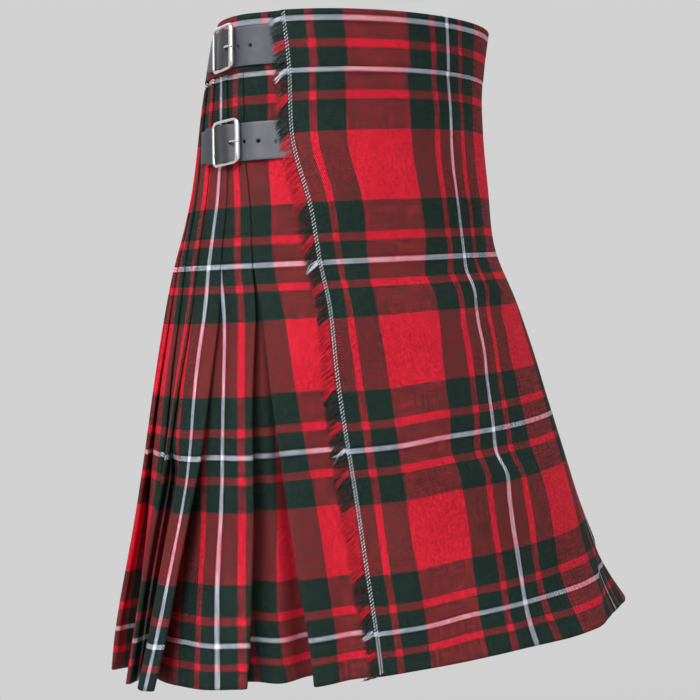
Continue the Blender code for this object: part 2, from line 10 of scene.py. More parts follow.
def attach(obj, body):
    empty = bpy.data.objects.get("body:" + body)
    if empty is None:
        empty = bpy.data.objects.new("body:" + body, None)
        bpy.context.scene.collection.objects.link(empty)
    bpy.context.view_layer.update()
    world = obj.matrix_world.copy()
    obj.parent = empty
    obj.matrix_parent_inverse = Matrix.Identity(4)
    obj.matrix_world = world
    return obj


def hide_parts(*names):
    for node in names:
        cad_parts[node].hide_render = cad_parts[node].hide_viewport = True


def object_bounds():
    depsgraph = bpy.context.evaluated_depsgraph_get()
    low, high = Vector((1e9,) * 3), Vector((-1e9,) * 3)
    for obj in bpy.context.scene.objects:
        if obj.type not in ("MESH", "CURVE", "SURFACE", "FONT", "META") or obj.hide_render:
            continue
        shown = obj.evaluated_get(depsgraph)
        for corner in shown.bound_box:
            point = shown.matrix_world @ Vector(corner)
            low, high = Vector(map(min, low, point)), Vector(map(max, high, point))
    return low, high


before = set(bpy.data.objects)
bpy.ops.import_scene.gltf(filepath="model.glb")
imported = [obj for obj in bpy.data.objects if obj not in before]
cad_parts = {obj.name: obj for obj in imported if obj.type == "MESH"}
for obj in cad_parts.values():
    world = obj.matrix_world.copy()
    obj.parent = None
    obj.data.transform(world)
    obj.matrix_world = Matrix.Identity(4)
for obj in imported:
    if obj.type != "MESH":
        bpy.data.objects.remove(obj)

bl_info = {
    "name": "Kilt",
    "version": (1, 0, 0),
    "blender": (4, 5, 0),
    "location": "View3D > Sidebar > Kilt",
    "description": "Cloth, fringe, straps and buckles of a knife-pleated kilt",
    "category": "Add Mesh",
}

CAD_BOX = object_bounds()
MM = 0.001
BODY = "root"
BAND = ("waistband_over", "waistband_under", "waistband_back")

# Levels on the cloth
BAND_BOTTOM = 50 * MM
BODY_TOP = 50.6 * MM
LENGTH = 610 * MM
BAND_WHITE = 7.5 * MM
BODY_WHITE = 52 * MM

# Pleats
PLEATS = 20
PLEATS_IN_RIGHT_HALF = 10
PLEAT_COLUMNS = {0: 34, 1: 24, 2: 12, 3: 14, 4: 12}
OTHER_PLEAT_COLUMNS = 8
PLEAT_OVERLAP = 0.85
LAYER_AT_WAIST = 1.2 * MM
LAYER_AT_HEM = 4.5 * MM
STITCHED_TO = 190 * MM
SPRUNG_AT = 660 * MM
REVERSE_PLEAT = 34 * MM
RECESS_UNDER_SECOND = 0.55
SEAM = 0.3 * MM

# Under apron and its band, below the over apron's surface
UNDER_AT_WAIST = 5.5 * MM
UNDER_LOWER = 4.5 * MM
UNDER_EASES = (150 * MM, 250 * MM)
UNDER_SHORT_OF_FOLD = 6 * MM
UNDER_BAND_PAST_EDGE = 10 * MM
BAND_CLIMBS = (16 * MM, 42 * MM)

# Points once round the form, and columns and rows of the walls' grids
POINTS_ROUND = 721
FRONT_COLUMNS = 170
UNDER_COLUMNS = 90
UNDER_BAND_COLUMNS = 110
BACK_BAND_COLUMNS = 170
RECESS_COLUMNS = 26
TAIL_COLUMNS = 5
LAYER_COLUMNS = 4
OUTER_FOLD = 7
INNER_FOLD = 3
APRON_FOLD = 6
BAND_ROWS = 15
OVER_ROWS = 150
UNDER_ROWS = 120
PLEAT_ROWS = 115

# The filled-out body at each level, in millimetres, and how many degrees from straight ahead
# the over apron's open edge and its folded edge lie.
FORM = {
    "below": (0, 52, 110, 170, 222, 260, 310, 392, 480, 562, 610),
    "height": (26, -26, -84, -142, -195, -230, -277, -355, -435, -513, -553),
    "half_width": (160, 159, 160, 175, 190, 204, 220, 249, 265, 301, 317),
    "half_depth": (115, 122, 128, 132, 141, 150, 160, 172, 192, 204, 216),
    "back": (-9, 5, 13, 17, 22, 19, 16, 11, 8, 0, -11),
    "front_lift": (0, 2, 3, 2, 1, 1, 1, 1, 2, 4, 9),
    "right_lift": (7, 5, 1, 0, 0, 0, -1, -4, -3, -1, 2),
    "open_edge": (80.5, 74, 71.3, 61.9, 56.4, 54.4, 53.4, 50.4, 49.8, 47.4, 49.0),
    "folded_edge": (76, 75, 71, 64, 60, 58, 56, 54, 53, 52, 52),
}

# Distance behind the open edge of the reverse pleat's fold and of the first five knife pleats.
FOLDS = {
    "below": (50, 110, 170, 222, 310, 392, 480, 562, 610),
    "reverse": (43.6, 44.6, 51.6, 57, 56, 56, 56, 55, 54),
    "first": (46, 47, 54, 60, 71, 83, 95, 109, 115),
    "second": (69, 68, 81, 94, 113, 130, 157, 181, 194),
    "third": (95, 98, 113, 126, 150, 174, 206, 227, 241),
    "fourth": (121, 127, 142, 152, 178, 201, 236, 270, 294),
    "fifth": (145, 150, 166, 179, 206, 238, 271, 302, 327),
}
# How far the folds of the first pleats and of the reverse pleat spring out at the hem.
SPRING_AT_HEM = np.array((2, 19, 9, -12, 3)) * MM
REVERSE_SPRING_AT_HEM = 12 * MM
# Shares of the way from the open edge to the reverse fold over which its cloth springs out.
REVERSE_SPRINGS = (0.35, 1.05)

# Bowls and bellies of the first pleats at the hem: share of the pleat, depth in mm.
BOWLS = {
    0: ((0, 0), (0.43, -4.7), (0.73, -1.3), (1, 2)),
    1: ((0, 0), (0.17, -4), (0.74, -1), (1, 0)),
    3: ((0, 0), (1, 12)),
}
# How far the second pleat's inner edge sinks: below, depth in mm.  Over which shares of it.
KNEE_SINKS = ((50, 0), (380, 0), (415, 8), (480, 9), (562, 8), (610, 4))
KNEE_SPAN = (0.3, 0.9)
# How far those pleats run on inside at the hem, and how much deeper they end.
TAILS = {0: (73 * MM, 17 * MM), 1: (20 * MM, 18 * MM), 3: (14 * MM, 8 * MM)}

# Depth in mm of the reverse pleat's recess at the hem, at six spots from its seam to its
# inner fold.
RECESS = (32, 36, 38, 15, 30, 32)
# The soft flute in the aprons' hem at the wearer's left: share of the apron's width, mm out.
FLUTE = ((0, 0), (0.1, -3), (0.3, -3), (0.36, 0), (0.432, 5.5), (0.493, 6.5), (0.53, 6.5),
         (0.56, 4.5), (0.619, -2), (0.70, -6.5), (0.78, -6.5), (0.85, -3), (0.92, -1), (1, 0))
FLUTE_TOP = 470 * MM
FLUTE_FULL = 640 * MM
# The flute's crest at the hem, and how far along the apron it lies higher up: below in mm.
CREST_AT_HEM = 0.53
CREST_SLIDES = ((490, 0.3), (530, 0.29), (550, 0.2), (570, 0.12), (590, 0.055), (610, 0))

# How far the second white line strays round the body from straight grain: below, mm forward.
STRAY = ((0, 0), (47, -2), (94, 2), (151, -2), (206, -1), (235, -6), (262, 2), (320, 1), (372, 1),
         (411, -2), (440, 2), (470, 1), (520, 0), (610, 0))
# Distances in front of the open edge over which that straying grows and fades.
STRAY_GROWS = (20 * MM, 150 * MM)
STRAY_FADES = (200 * MM, 340 * MM)
# How far the over apron's check runs ahead of straight grain: below, then mm at each distance
# in front of the open edge.
DRIFT_AT = (6, 18, 25, 50, 114, 149, 173, 193, 224, 285, 345)
DRIFTS = (
    (50, 0, 1, 2.5, 3, 3.5, -0.5, -0.5, -0.4, 1, 1, 1),
    (88, 0, 1.3, 2.5, 3.1, 3.7, -0.9, -0.6, -0.4, 3, 2, 2),
    (123, 0, 2.9, 3.6, 4.4, 3.5, 0.3, 0.4, 2, 3, 3, 3),
    (152, 0, 2.2, 3.3, 3.4, 2.8, 0.2, 0.1, 2, 2.8, 3, 3),
    (184, 0, 3.6, 4.6, 4.9, 2.9, 0.2, -0.7, -2.5, -1.8, 0, 0),
    (261, 0, 4.1, 6.4, 9.9, 6.8, 1.5, -2, -4, -5, -1, -1),
    (288, 0, 4.4, 5.1, 8.3, 6.4, 4.2, 2, 0.5, 0, -2, -3),
    (320, 0, 2.3, 3.6, 4.8, 7, 1, -2, -2, 0, -4, -6),
    (352, 0, 2.7, 2.7, 4.3, 6.8, 0.6, -0.7, -1.8, -5, -12, -16),
    (436, 0, 3.4, 3.6, 5.8, 10.5, 5.8, -0.5, -3.5, -10, -22, -26),
    (484, 0, 4.2, 5.1, 7.4, 8.5, 7.1, 0.9, -5.5, -15, -28, -34),
    (516, 0, 4.6, 5, 5.2, 7.4, 4.2, -1.1, -6, -15, -28, -34),
    (540, 0, 3.4, 4.2, 4.6, 6, 2.6, -2.7, -7.5, -15, -28, -34),
    (610, 0, 3.2, 4, 4.6, 5.5, 2, -3, -8, -15, -28, -34),
)
# How much lower the check lies than straight grain on the pleats and near the open edge.
SAG = 3 * MM
SAG_STARTS = (250 * MM, 310 * MM)
SAG_FADES = (40 * MM, 110 * MM)

# Check, from the middle of one white line to the middle of the next: stripe, width in mm.
HALF_CHECK = (("white", 2.2), ("edge", 2.0), ("green", 14), ("red", 7.6), ("green", 27.2))
CHECK = (*HALF_CHECK, ("red", 64), *HALF_CHECK[::-1])
# Where the check lies on each piece, as the distance of its first white line's middle.
APRON_WHITE = 3 * MM
EDGE_GREEN = 9 * MM
EDGE_GREEN_ENDS = (2 * MM, 6 * MM)
FOLDS_IN_CHECK = {
    "below": (50, 100, 190, 260, 335, 410, 480, 562, 610),
    "reverse": (30, 31, 35.5, 35, 33, 31, 30, 32, 34),
    "recess": (30, 30, 31, 32, 33, 33, 32, 26, 17),
    "first": (-31, -31.5, -34.5, -34.5, -31, -30, -29, -25.5, -22.5),
    "second": (-8.5, -9, -12, -13.5, -13, -7.5, -5, -4, -4),
    "third": (20, 20, 19, 18, 18, 18, 18.5, 20, 22),
}
# How far the second pleat's white line rolls over its edge, between which levels, and half
# the line's width.
WHITE_ROLLS_AWAY = 2 * MM
WHITE_ROLLS_SPAN = (300 * MM, 420 * MM)
WHITE_HALF = 2.6 * MM
FOURTH_FOLD_IN_CHECK = 46 * MM
PLEAT_STEP_IN_CHECK = 22 * MM
BAND_RED_LINE = 18 * MM
BAND_RED_LINE_BEHIND = 15 * MM

# Twill: painted shade, as the darker yarn's extra cover, standing in for the shadow that it casts on
# the lighter yarn: how that cover grows with the difference in lightness and its limit, and how it
# shrinks beside white: from, to, share at each.
SHADE_COVER_PER_LIGHT = 4.0
MOST_SHADE_COVER = 0.21
SHADE_COVER_BESIDE_WHITE = (0.60, 0.73, 1.0, 0.4)
YARNS_IN_RIB = 4
RIDGE_SHARE = 0.6
# Uneven yarns, per metre along and across, and the yarns' tones and the ribs' painted shade
# and highlight: factor, start.
SLUBS_ALONG = 34.0
SLUBS_ACROSS = 560.0
SLUB_TONES = (0.7, 0.65)
RELIEF_PAINTED_SHADE = (1.2, 0.38)
# Slow tone changes among the fibres, per metre, their share, and the ply of a loose yarn.
SLOW_FIBRES = 14.0
SLOW_SHARE = 0.25
PLY_TURNS = 5200.0
# Painted shade on the leather, darker towards the back, along Y: from, to, tone at each.
LEATHER_PAINTED_SHADE = (8 * MM, 30 * MM, 1.0, 0.36)

# Length of the fringe down the edge, as a share, and height of a lock of yarns.
FRINGE_REACH = ((0, 0.95), (60, 0.95), (150, 0.8), (290, 0.8), (330, 1), (610, 1))
FRINGE_LOCK = 4.5 * MM
# The yarns' root inside the edge, the level above which they stand stiff, and the distance
# from the middle of a white line within which they curl more.
FRINGE_ROOT = 1.5 * MM
STIFF_FRINGE_TO = 90 * MM
WILD_NEAR_WHITE = 3 * MM
# Binding stitches over the fringe's root, behind (minus: in front of) the open edge.
STITCH_PITCH = 2.9 * MM
STITCH_COLUMNS = (-1.7 * MM, -3.8 * MM)
STITCH_ACROSS = 1.3 * MM
STITCH_DROP = 1.9 * MM

# Straps
STRAP_WIDTH = 34 * MM
STRAP_THICKNESS = 1.6 * MM
STRAP_BEHIND_BUCKLE = 38 * MM
STRAP_CORNER = 9 * MM
TAB_WIDTH = 30 * MM
TAB_THICKNESS = 1.2 * MM
TAB_FRONT = 3 * MM
TAB_LENGTH = 50 * MM
LEATHER_CLEAR = 0.6 * MM
BUCKLE_WIDTH = 34.5 * MM
BUCKLE_HEIGHT = 43 * MM
BUCKLE_CORNER = 5 * MM
BUCKLE_TILT = radians(5)
RAIL_RADIUS = 1.5 * MM
RAIL_SIDES = 16
RAIL_FLATNESS = 0.9
FRONT_BAR_SWELL = 1.8
HEEL_RADIUS = 1.2 * MM
FRAME_ABOVE_CLOTH = 5.1 * MM
HEEL_ABOVE_CLOTH = 3.6 * MM
TONGUE_RADIUS = 0.9 * MM
# Where a strap starts, and from where to where it rises to the cloth that it lies on.
RIGHT_STRAP_STARTS = (-14 * MM, 13 * MM, 38 * MM)
LEFT_STRAP_STARTS = (30 * MM, -24 * MM, -34 * MM)
# Cloth face under a strap's root, and how far from the heel bar the strap starts to rise.
STRAP_ROOT_FACE = 0.85 * MM
BAR_TO_HEEL = 14 * MM
HOLES = 4
HOLE_PITCH = 13.6 * MM
FIRST_HOLE = -6 * MM
HOLE_RADIUS = 1.8 * MM
HARD_RIM = radians(50)

# Straps: level of the middle, buckle behind the open edge or the folded edge, cloth face.
STRAPS = {
    "waist_right": (28 * MM, 66 * MM, 1.1 * MM),
    "hip_right": (110 * MM, 64 * MM, 0.6 * MM),
    "waist_left": (28 * MM, -62 * MM, 1.1 * MM),
}
CAD_LEVELS = np.array((0, 50, 50.6, 91, 129, 195, 275, 375, 470, 550, 610)) * MM

# Camera: level with the thighs, at the wearer's right front.
CAMERA_PLACE = (-1.7255, -1.0811, -0.1902)
CAMERA_TURN = 1.0055
CAMERA_DOWN = 0.0447
CAMERA_ROLL = -0.0425
CAMERA_LENS = 107.7
# Lamps, named as their power is among the stage's settings: place and size.
LAMPS = (("key", (-2.4, -0.3, 1.8), 1.8), ("fill", (-2.4, -1.8, 0.2), 2.0),
         ("back", (1.6, 2.2, 1.4), 2.0))
LAMPS_AIM = (0, 0, -0.25)
FLOOR_FADES = (0.6, 2.4)


# ---------------- what a user can change
class KiltSizes(bpy.types.PropertyGroup):
    """Sizes of the cloth and of its fringe"""

    sett: FloatProperty(name="Check repeat", description="White line to white line",
                        default=0.170, min=0.05, subtype="DISTANCE", unit="LENGTH")
    yarn: FloatProperty(name="Yarn pitch", description="Distance between two yarns of the twill",
                        default=0.60 * MM, min=0.0001, precision=5, unit="LENGTH")
    cloth: FloatProperty(name="Cloth thickness", description="Thickness of the twill",
                         default=1.0 * MM, min=0.0005, precision=4, unit="LENGTH")
    band: FloatProperty(name="Waistband thickness", description="Thickness of the doubled band",
                        default=2.0 * MM, min=0.001, precision=4, unit="LENGTH")
    fringe_reach: FloatProperty(name="Fringe reach", description="Length of the loose yarn ends",
                                default=15 * MM, min=0.002, precision=4, unit="LENGTH")
    fringe_droop: FloatProperty(name="Fringe droop", description="How far their tips hang",
                                default=9 * MM, min=0, precision=4, unit="LENGTH")
    fringe_yarns: IntProperty(name="Fringe yarns", description="Number of loose yarn ends",
                              default=1500, min=100)


class KiltColours(bpy.types.PropertyGroup):
    """Colours of the wool, the thread, the leather and the metal"""

    red: FloatVectorProperty(name="Red", description="Red wool", subtype="COLOR", size=3,
                             default=(0.64, 0.019, 0.039))
    green: FloatVectorProperty(name="Green", description="Bottle green wool", subtype="COLOR",
                               size=3, default=(0.016, 0.031, 0.026))
    white: FloatVectorProperty(name="White", description="Cool white wool", subtype="COLOR",
                               size=3, default=(0.80, 0.85, 0.98))
    edge: FloatVectorProperty(name="Edge", description="Dark yarns beside the white",
                              subtype="COLOR", size=3, default=(0.006, 0.016, 0.020))
    thread: FloatVectorProperty(name="Thread", description="White stitching thread",
                                subtype="COLOR", size=3, default=(0.90, 0.93, 1.0))
    leather: FloatVectorProperty(name="Leather", description="Dark blue-grey leather",
                                 subtype="COLOR", size=3, default=(0.095, 0.100, 0.120))
    nickel: FloatVectorProperty(name="Nickel", description="Nickel plate", subtype="COLOR",
                                size=3, default=(0.80, 0.79, 0.77))


class KiltStage(bpy.types.PropertyGroup):
    """Backdrop, lamps and floor"""

    backdrop: FloatVectorProperty(name="Backdrop", description="Pale grey all round",
                                  subtype="COLOR", size=3, default=(0.64, 0.64, 0.64))
    key: FloatProperty(name="Key light", description="Large soft light", default=64, min=0,
                       subtype="POWER")
    fill: FloatProperty(name="Fill light", description="Soft light from the other side",
                        default=3, min=0, subtype="POWER")
    back: FloatProperty(name="Back light", description="Soft light behind", default=12, min=0,
                        subtype="POWER")
    floor_gap: FloatProperty(name="Floor gap", description="Floor below the hem",
                             default=0.45, min=0, unit="LENGTH")


def sizes():
    return bpy.context.scene.kilt_sizes


def colours():
    return bpy.context.scene.kilt_colours


# ---------------- curves through tables
def natural_spline(places, values, at):
    """Cubic through each (place, value), with no bend at its two ends."""
    places = np.asarray(places, float)
    values = np.asarray(values, float)
    count = len(places)
    steps = np.diff(places)
    rises = np.diff(values) / steps
    system = np.eye(count)
    bends = np.zeros(count)
    for i in range(1, count - 1):
        system[i, i - 1:i + 2] = steps[i - 1], 2 * (steps[i - 1] + steps[i]), steps[i]
        bends[i] = 6 * (rises[i] - rises[i - 1])
    bends = np.linalg.solve(system, bends)
    at = np.asarray(at, float)
    i = np.clip(np.searchsorted(places, at) - 1, 0, count - 2)
    along = at - places[i]
    slope = rises[i] - steps[i] * (2 * bends[i] + bends[i + 1]) / 6
    cubic = (bends[i + 1] - bends[i]) / (6 * steps[i])
    return values[i] + along * (slope + along * (bends[i] / 2 + along * cubic))


def column(table, name, below, unit=MM):
    """The named row of a table, read along a curve at levels below the waist edge."""
    levels = np.array(table["below"], float) * MM
    return natural_spline(levels, np.array(table[name], float) * unit, below)


def smooth(table, at):
    """The second column of a two-column table, read along a curve with no overshoot."""
    rows = np.array(table, float)
    at = np.clip(at, rows[0, 0], rows[-1, 0])
    i = np.clip(np.searchsorted(rows[:, 0], at) - 1, 0, len(rows) - 2)
    rise = np.diff(rows[:, 1]) / np.diff(rows[:, 0])
    same_way = rise[:-1] * rise[1:] > 0
    both = np.where(same_way, rise[:-1] + rise[1:], 1)
    slopes = np.zeros(len(rows))
    slopes[1:-1] = np.where(same_way, 2 * rise[:-1] * rise[1:] / both, 0)
    wide = rows[i + 1, 0] - rows[i, 0]
    t = (at - rows[i, 0]) / wide
    blend = t * t * (3 - 2 * t)
    bends = wide * (slopes[i] * t * (1 - t) ** 2 - slopes[i + 1] * t * t * (1 - t))
    return rows[i, 1] + (rows[i + 1, 1] - rows[i, 1]) * blend + bends


def ease(value, start, end):
    """0 before start, 1 after end, with level ends between."""
    share = np.clip((value - start) / (end - start), 0, 1)
    return share * share * (3 - 2 * share)


# ---------------- the filled-out form
def surface(below, angle, out=0.0):
    """Points on the form, a row for each level: an ellipse, moved out along its normal."""
    height, wide, deep, back, front_lift, right_lift = (
        column(FORM, name, below)[:, None]
        for name in ("height", "half_width", "half_depth", "back", "front_lift", "right_lift"))
    across = -np.sin(angle) / wide
    along = -np.cos(angle) / deep
    out = out / np.hypot(across, along)
    x = -wide * np.sin(angle) + out * across
    y = back - deep * np.cos(angle) + out * along
    z = height + front_lift * np.cos(angle) + right_lift * np.sin(angle)
    return np.stack((x, y, z), -1)


def once_round(below):
    """For each level, angles once round from the open edge and the distance to each."""
    start = np.radians(column(FORM, "open_edge", below, 1))
    angles = start[:, None] + np.linspace(0, 2 * pi, POINTS_ROUND)
    steps = np.linalg.norm(np.diff(surface(below, angles), axis=1), axis=2)
    return angles, join(0 * start[:, None], np.cumsum(steps, 1))


def at_distance(below, behind, out=0.0):
    """Points a row for each level, at distances behind the open edge, moved out."""
    angles, distances = once_round(below)
    turn = distances[:, -1:]
    turns = np.floor(behind / turn)
    rows = zip(behind - turns * turn, distances, angles)
    angle = np.array([np.interp(row, known, at) for row, known, at in rows]) + turns * 2 * pi
    return surface(below, angle, out)


def folded_edge(below):
    """Distance from the open edge, round the back, to the over apron's folded edge."""
    angles, distances = once_round(below)
    angle = 2 * pi - np.radians(column(FORM, "folded_edge", below, 1))
    return np.array([np.interp(*row) for row in zip(angle, angles, distances)])


def apron_drift(below, ahead):
    """How far the check runs ahead of straight grain, at distances in front of the edge."""
    rows = np.array(DRIFTS, float)
    knots = [smooth(rows[:, (0, k)], below / MM) for k in range(1, rows.shape[1])]
    drifts = [np.interp(row / MM, DRIFT_AT, knot) for row, knot in zip(ahead, np.stack(knots, -1))]
    return np.array(drifts) * MM


def open_fold(below):
    """Where distances start for what is measured from the open edge itself."""
    return 0 * below


def apron_width(below):
    """Width of the over apron: once round, less the way round the back to its folded edge."""
    return once_round(below)[1][:, -1] - folded_edge(below)


def on_wall(below, behind, out, start):
    """Points on the solid walls, which run straight between the levels of their sections."""
    i = int(np.clip(np.searchsorted(CAD_LEVELS, below) - 1, 0, len(CAD_LEVELS) - 2))
    ends = CAD_LEVELS[i:i + 2]
    share = (below - ends[0]) / (ends[1] - ends[0])
    points = at_distance(ends, start(ends)[:, None] + behind, out)
    return points[0] + (points[1] - points[0]) * share


def layer(below):
    """Height that one folded layer takes, from the waist's to the hem's below the stitches."""
    return LAYER_AT_WAIST + (LAYER_AT_HEM - LAYER_AT_WAIST) * ease(below, STITCHED_TO, LENGTH)


def splay(below):
    """How far the pleats have sprung open: 0 where they are stitched, 1 at the hem."""
    return ease(below, STITCHED_TO, SPRUNG_AT) / ease(LENGTH, STITCHED_TO, SPRUNG_AT)


# ---------------- cross-sections of the walls
# A section is a list of stretches.  A stretch stacks three grids with a row for every level:
# distances behind the open edge, distances out of the form and places in the check.
def join(*grids):
    """Grids or stretches laid side by side."""
    return np.concatenate(grids, -1)


def lines(*places):
    """Columns of equal level, from numbers and arrays that have a value for each level."""
    return np.stack(np.broadcast_arrays(*places), -1)


def between(start, end, count):
    """Columns spread evenly from one place to another, at every level."""
    share = np.linspace(0, 1, count)
    return start[:, None] * (1 - share) + end[:, None] * share


def fold_arc(place, middle, radius, facing, count):
    """Half circle from a fold's lower layer to its upper one, and its length so far."""
    turn = np.linspace(-pi / 2, pi / 2, count)
    place, middle, radius = place[:, None], middle[:, None], radius[:, None]
    return np.stack((place + facing * radius * np.cos(turn), middle + radius * np.sin(turn),
                     radius * (turn + pi / 2)))


def run(behind, out):
    """Length of cloth from a stretch's first column to each of its columns."""
    steps = np.hypot(np.diff(behind, axis=1), np.diff(out, axis=1))
    return join(0 * behind[:, :1], np.cumsum(steps, 1))


def fold_places(below):
    """Where each knife pleat's fold lies, then the over apron's folded edge."""
    shown = [column(FOLDS, name, below) for name in list(FOLDS)[2:]]
    hidden = between(shown[-1], folded_edge(below), PLEATS + 2 - len(shown))
    return join(np.stack(shown[:-1], -1), hidden)


def fold_springs(below):
    """How far each pleat's fold stands out: its spring at the hem times the splay."""
    springs = np.zeros((len(below), PLEATS + 1))
    springs[:, :len(SPRING_AT_HEM)] = SPRING_AT_HEM * splay(below)[:, None]
    return springs


def check_place(name, below):
    return column(FOLDS_IN_CHECK, name, below)


def fold_in_check(below, i):
    if i < 3:
        return check_place(("first", "second", "third")[i], below)
    return FOURTH_FOLD_IN_CHECK + (i - 3) * PLEAT_STEP_IN_CHECK + 0 * below


def bowl_depth(below, i, share):
    """Depth of a pleat's bowl at shares of its width, for every level."""
    depth = smooth(BOWLS[i], share) if i in BOWLS else 0 * share
    return depth * MM * splay(below)[:, None] ** 2


def tail(below, i, places, springs):
    """How far a pleat runs on under the next one, short of the one after, and how it falls."""
    last = i + 2 >= places.shape[1]
    first = i if last else i + 1
    after = places[:, first + 1] - places[:, first]
    reach = PLEAT_OVERLAP * after
    fall = 0 * below
    if not last:
        knee = springs[:, i + 2] - 2 * layer(below) - bowl_depth(below, i + 1, np.ones(1))[:, 0]
        fall = (springs[:, i + 1] - knee) / after * reach
    opened = splay(below) if i in TAILS else 0 * below
    reach_at_hem, fall_at_hem = TAILS.get(i, (0, 0))
    return (reach * (1 - opened) + reach_at_hem * opened,
            fall * (1 - opened) + fall_at_hem * opened)


def pleat(below, i, places, springs):
    """Fold, panel and inner fold of a knife pleat, then the layer back to the next fold."""
    thick = layer(below)
    fold, next_fold = places[:, i], places[:, i + 1]
    knee = springs[:, i + 1] - 2 * thick
    if i == 0:
        knee = np.minimum(knee, -2 * thick)
    outer = fold_arc(fold, springs[:, i] - thick / 2, thick / 2, -1, OUTER_FOLD)
    wide = PLEAT_COLUMNS.get(i, OTHER_PLEAT_COLUMNS)
    share = np.linspace(0, 1, wide)[1:]
    panel = between(fold, next_fold, wide)[:, 1:]
    out = springs[:, i:i + 1] + (knee - springs[:, i])[:, None] * share
    out = out - bowl_depth(below, i, share)
    if i == 1:
        out = out - smooth(KNEE_SINKS, below / MM)[:, None] * MM * ease(share, *KNEE_SPAN)
    reach, fall = tail(below, i, places, springs)
    tip = next_fold + reach
    end = out[:, -1] - (0 if i == PLEATS - 1 else fall)
    turned = fold_arc(tip, end + thick / 2, thick / 2, 1, INNER_FOLD)
    behind = join(outer[0], panel, between(next_fold, tip, TAIL_COLUMNS)[:, 1:-1], turned[0])
    out = join(outer[1], out, between(out[:, -1], end, TAIL_COLUMNS)[:, 1:-1], turned[1])
    start = fold_in_check(below, i) - pi * thick / 2
    check = start[:, None] + run(behind, out)
    if i == 1:
        rolled = WHITE_ROLLS_AWAY * ease(below, *WHITE_ROLLS_SPAN)[:, None]
        check = check + rolled * (ease(check, -WHITE_HALF, WHITE_HALF) - 0.5)
    stretch = np.stack((behind, out, check))
    if i == PLEATS - 1:
        return [stretch]
    return [stretch, layer_back(below, i + 1, places, springs, turned)]


def layer_back(below, i, places, springs, turned):
    """The straight hidden layer from an inner fold back to the next pleat's outer fold."""
    thick = layer(below)
    behind = between(turned[0][:, -1], places[:, i], LAYER_COLUMNS)
    out = between(turned[1][:, -1], springs[:, i] - thick, LAYER_COLUMNS)
    length = run(behind, out)
    end = fold_in_check(below, i) - pi * thick / 2
    return np.stack((behind, out, end[:, None] + length - length[:, -1:]))


def recess(below, places, springs):
    """The reverse pleat's inner side, from its seam to the first knife pleat's fold."""
    thick = layer(below)
    opened = splay(below)[:, None]
    reverse = column(FOLDS, "reverse", below)
    first = places[:, 0]
    reach = RECESS_UNDER_SECOND * (places[:, 1] - first)
    knots = lines(reverse - REVERSE_PLEAT, reverse - REVERSE_PLEAT / 2, reverse,
                  (reverse + first) / 2, first, first + reach)
    step = np.linspace(0, len(RECESS) - 1, RECESS_COLUMNS)
    behind = np.array([np.interp(step, np.arange(len(RECESS)), row) for row in knots])
    flat = (under_depth(below) + 2 * thick)[:, None]
    out = -flat * (1 - opened) - smooth(list(enumerate(RECESS)), step) * MM * opened
    check = check_place("recess", below)[:, None] + first[:, None] - behind
    turned = fold_arc(behind[:, -1], out[:, -1] + thick / 2, thick / 2, 1, INNER_FOLD)
    hidden = np.stack((turned[0], turned[1], check[:, -1:] - turned[2]))
    return [join(np.stack((behind, out, check)), hidden),
            layer_back(below, 0, places, springs, turned)]


def right_back_section(below):
    """From the reverse pleat's seam to the inner fold in the middle of the back."""
    places, springs = fold_places(below), fold_springs(below)
    stretches = recess(below, places, springs)
    for i in range(PLEATS_IN_RIGHT_HALF):
        stretches += pleat(below, i, places, springs)
    last = stretches[-2]
    end = -INNER_FOLD
    return stretches[:-2] + [last[..., :end], last[..., end - 1:end + 1]]


def left_back_section(below):
    """From the middle of the back to the last pleat, under the over apron's folded edge."""
    places, springs = fold_places(below), fold_springs(below)
    first = PLEATS_IN_RIGHT_HALF
    behind, out, _ = pleat(below, first - 1, places, springs)[0][..., -INNER_FOLD:1 - INNER_FOLD]
    inner = (behind, out + layer(below)[:, None])
    stretches = [layer_back(below, first, places, springs, inner)]
    for i in range(first, PLEATS):
        stretches += pleat(below, i, places, springs)
    return stretches[:-1] + [stretches[-1][..., :1 - INNER_FOLD]]


def flute(below, share):
    """Height of the flute, whose crest runs aslant from the hem towards the wearer's left."""
    crest = CREST_AT_HEM + smooth(CREST_SLIDES, below / MM)[:, None]
    rest = (share - crest) / (1 - crest) * (1 - CREST_AT_HEM)
    along = np.where(share < crest, share / crest * CREST_AT_HEM, CREST_AT_HEM + rest)
    return smooth(FLUTE, along) * MM * ease(below, FLUTE_TOP, FLUTE_FULL)[:, None]


def under_depth(below):
    """Depth of the under apron below the over apron: the waist's, easing to the hip's."""
    return UNDER_AT_WAIST + (UNDER_LOWER - UNDER_AT_WAIST) * ease(below, *UNDER_EASES)


def with_green_edge(check):
    return check + EDGE_GREEN * (1 - ease(check, *EDGE_GREEN_ENDS))


def over_apron_section(below):
    """From the seam inside its left fold, round that fold, to the open edge."""
    thick = layer(below)
    width = apron_width(below)
    places = fold_places(below)
    under_fold = PLEAT_OVERLAP * (places[:, -1] - places[:, -2])
    inner = lines(under_fold - width, under_fold / 2 - width)
    arc = fold_arc(-width, -thick / 2, thick / 2, -1, APRON_FOLD)
    behind = between(-width, 0 * width, FRONT_COLUMNS)[:, 1:]
    out = flute(below, -behind[0] / width[0])
    check = with_green_edge(apron_drift(below, -behind) - behind - APRON_WHITE)
    turned = check[:, :1] + (pi * thick / 2)[:, None]
    return [np.stack((join(inner, arc[0], behind),
                      join(-thick[:, None] + 0 * inner, arc[1], out),
                      join(turned + inner + width[:, None], turned - arc[2], check)))]


def under_apron_left(below):
    """Distance in front of the open edge at which the under apron ends."""
    places = fold_places(below)
    gap = PLEAT_OVERLAP * (places[:, -1] - places[:, -2])
    return apron_width(below) - gap - UNDER_SHORT_OF_FOLD


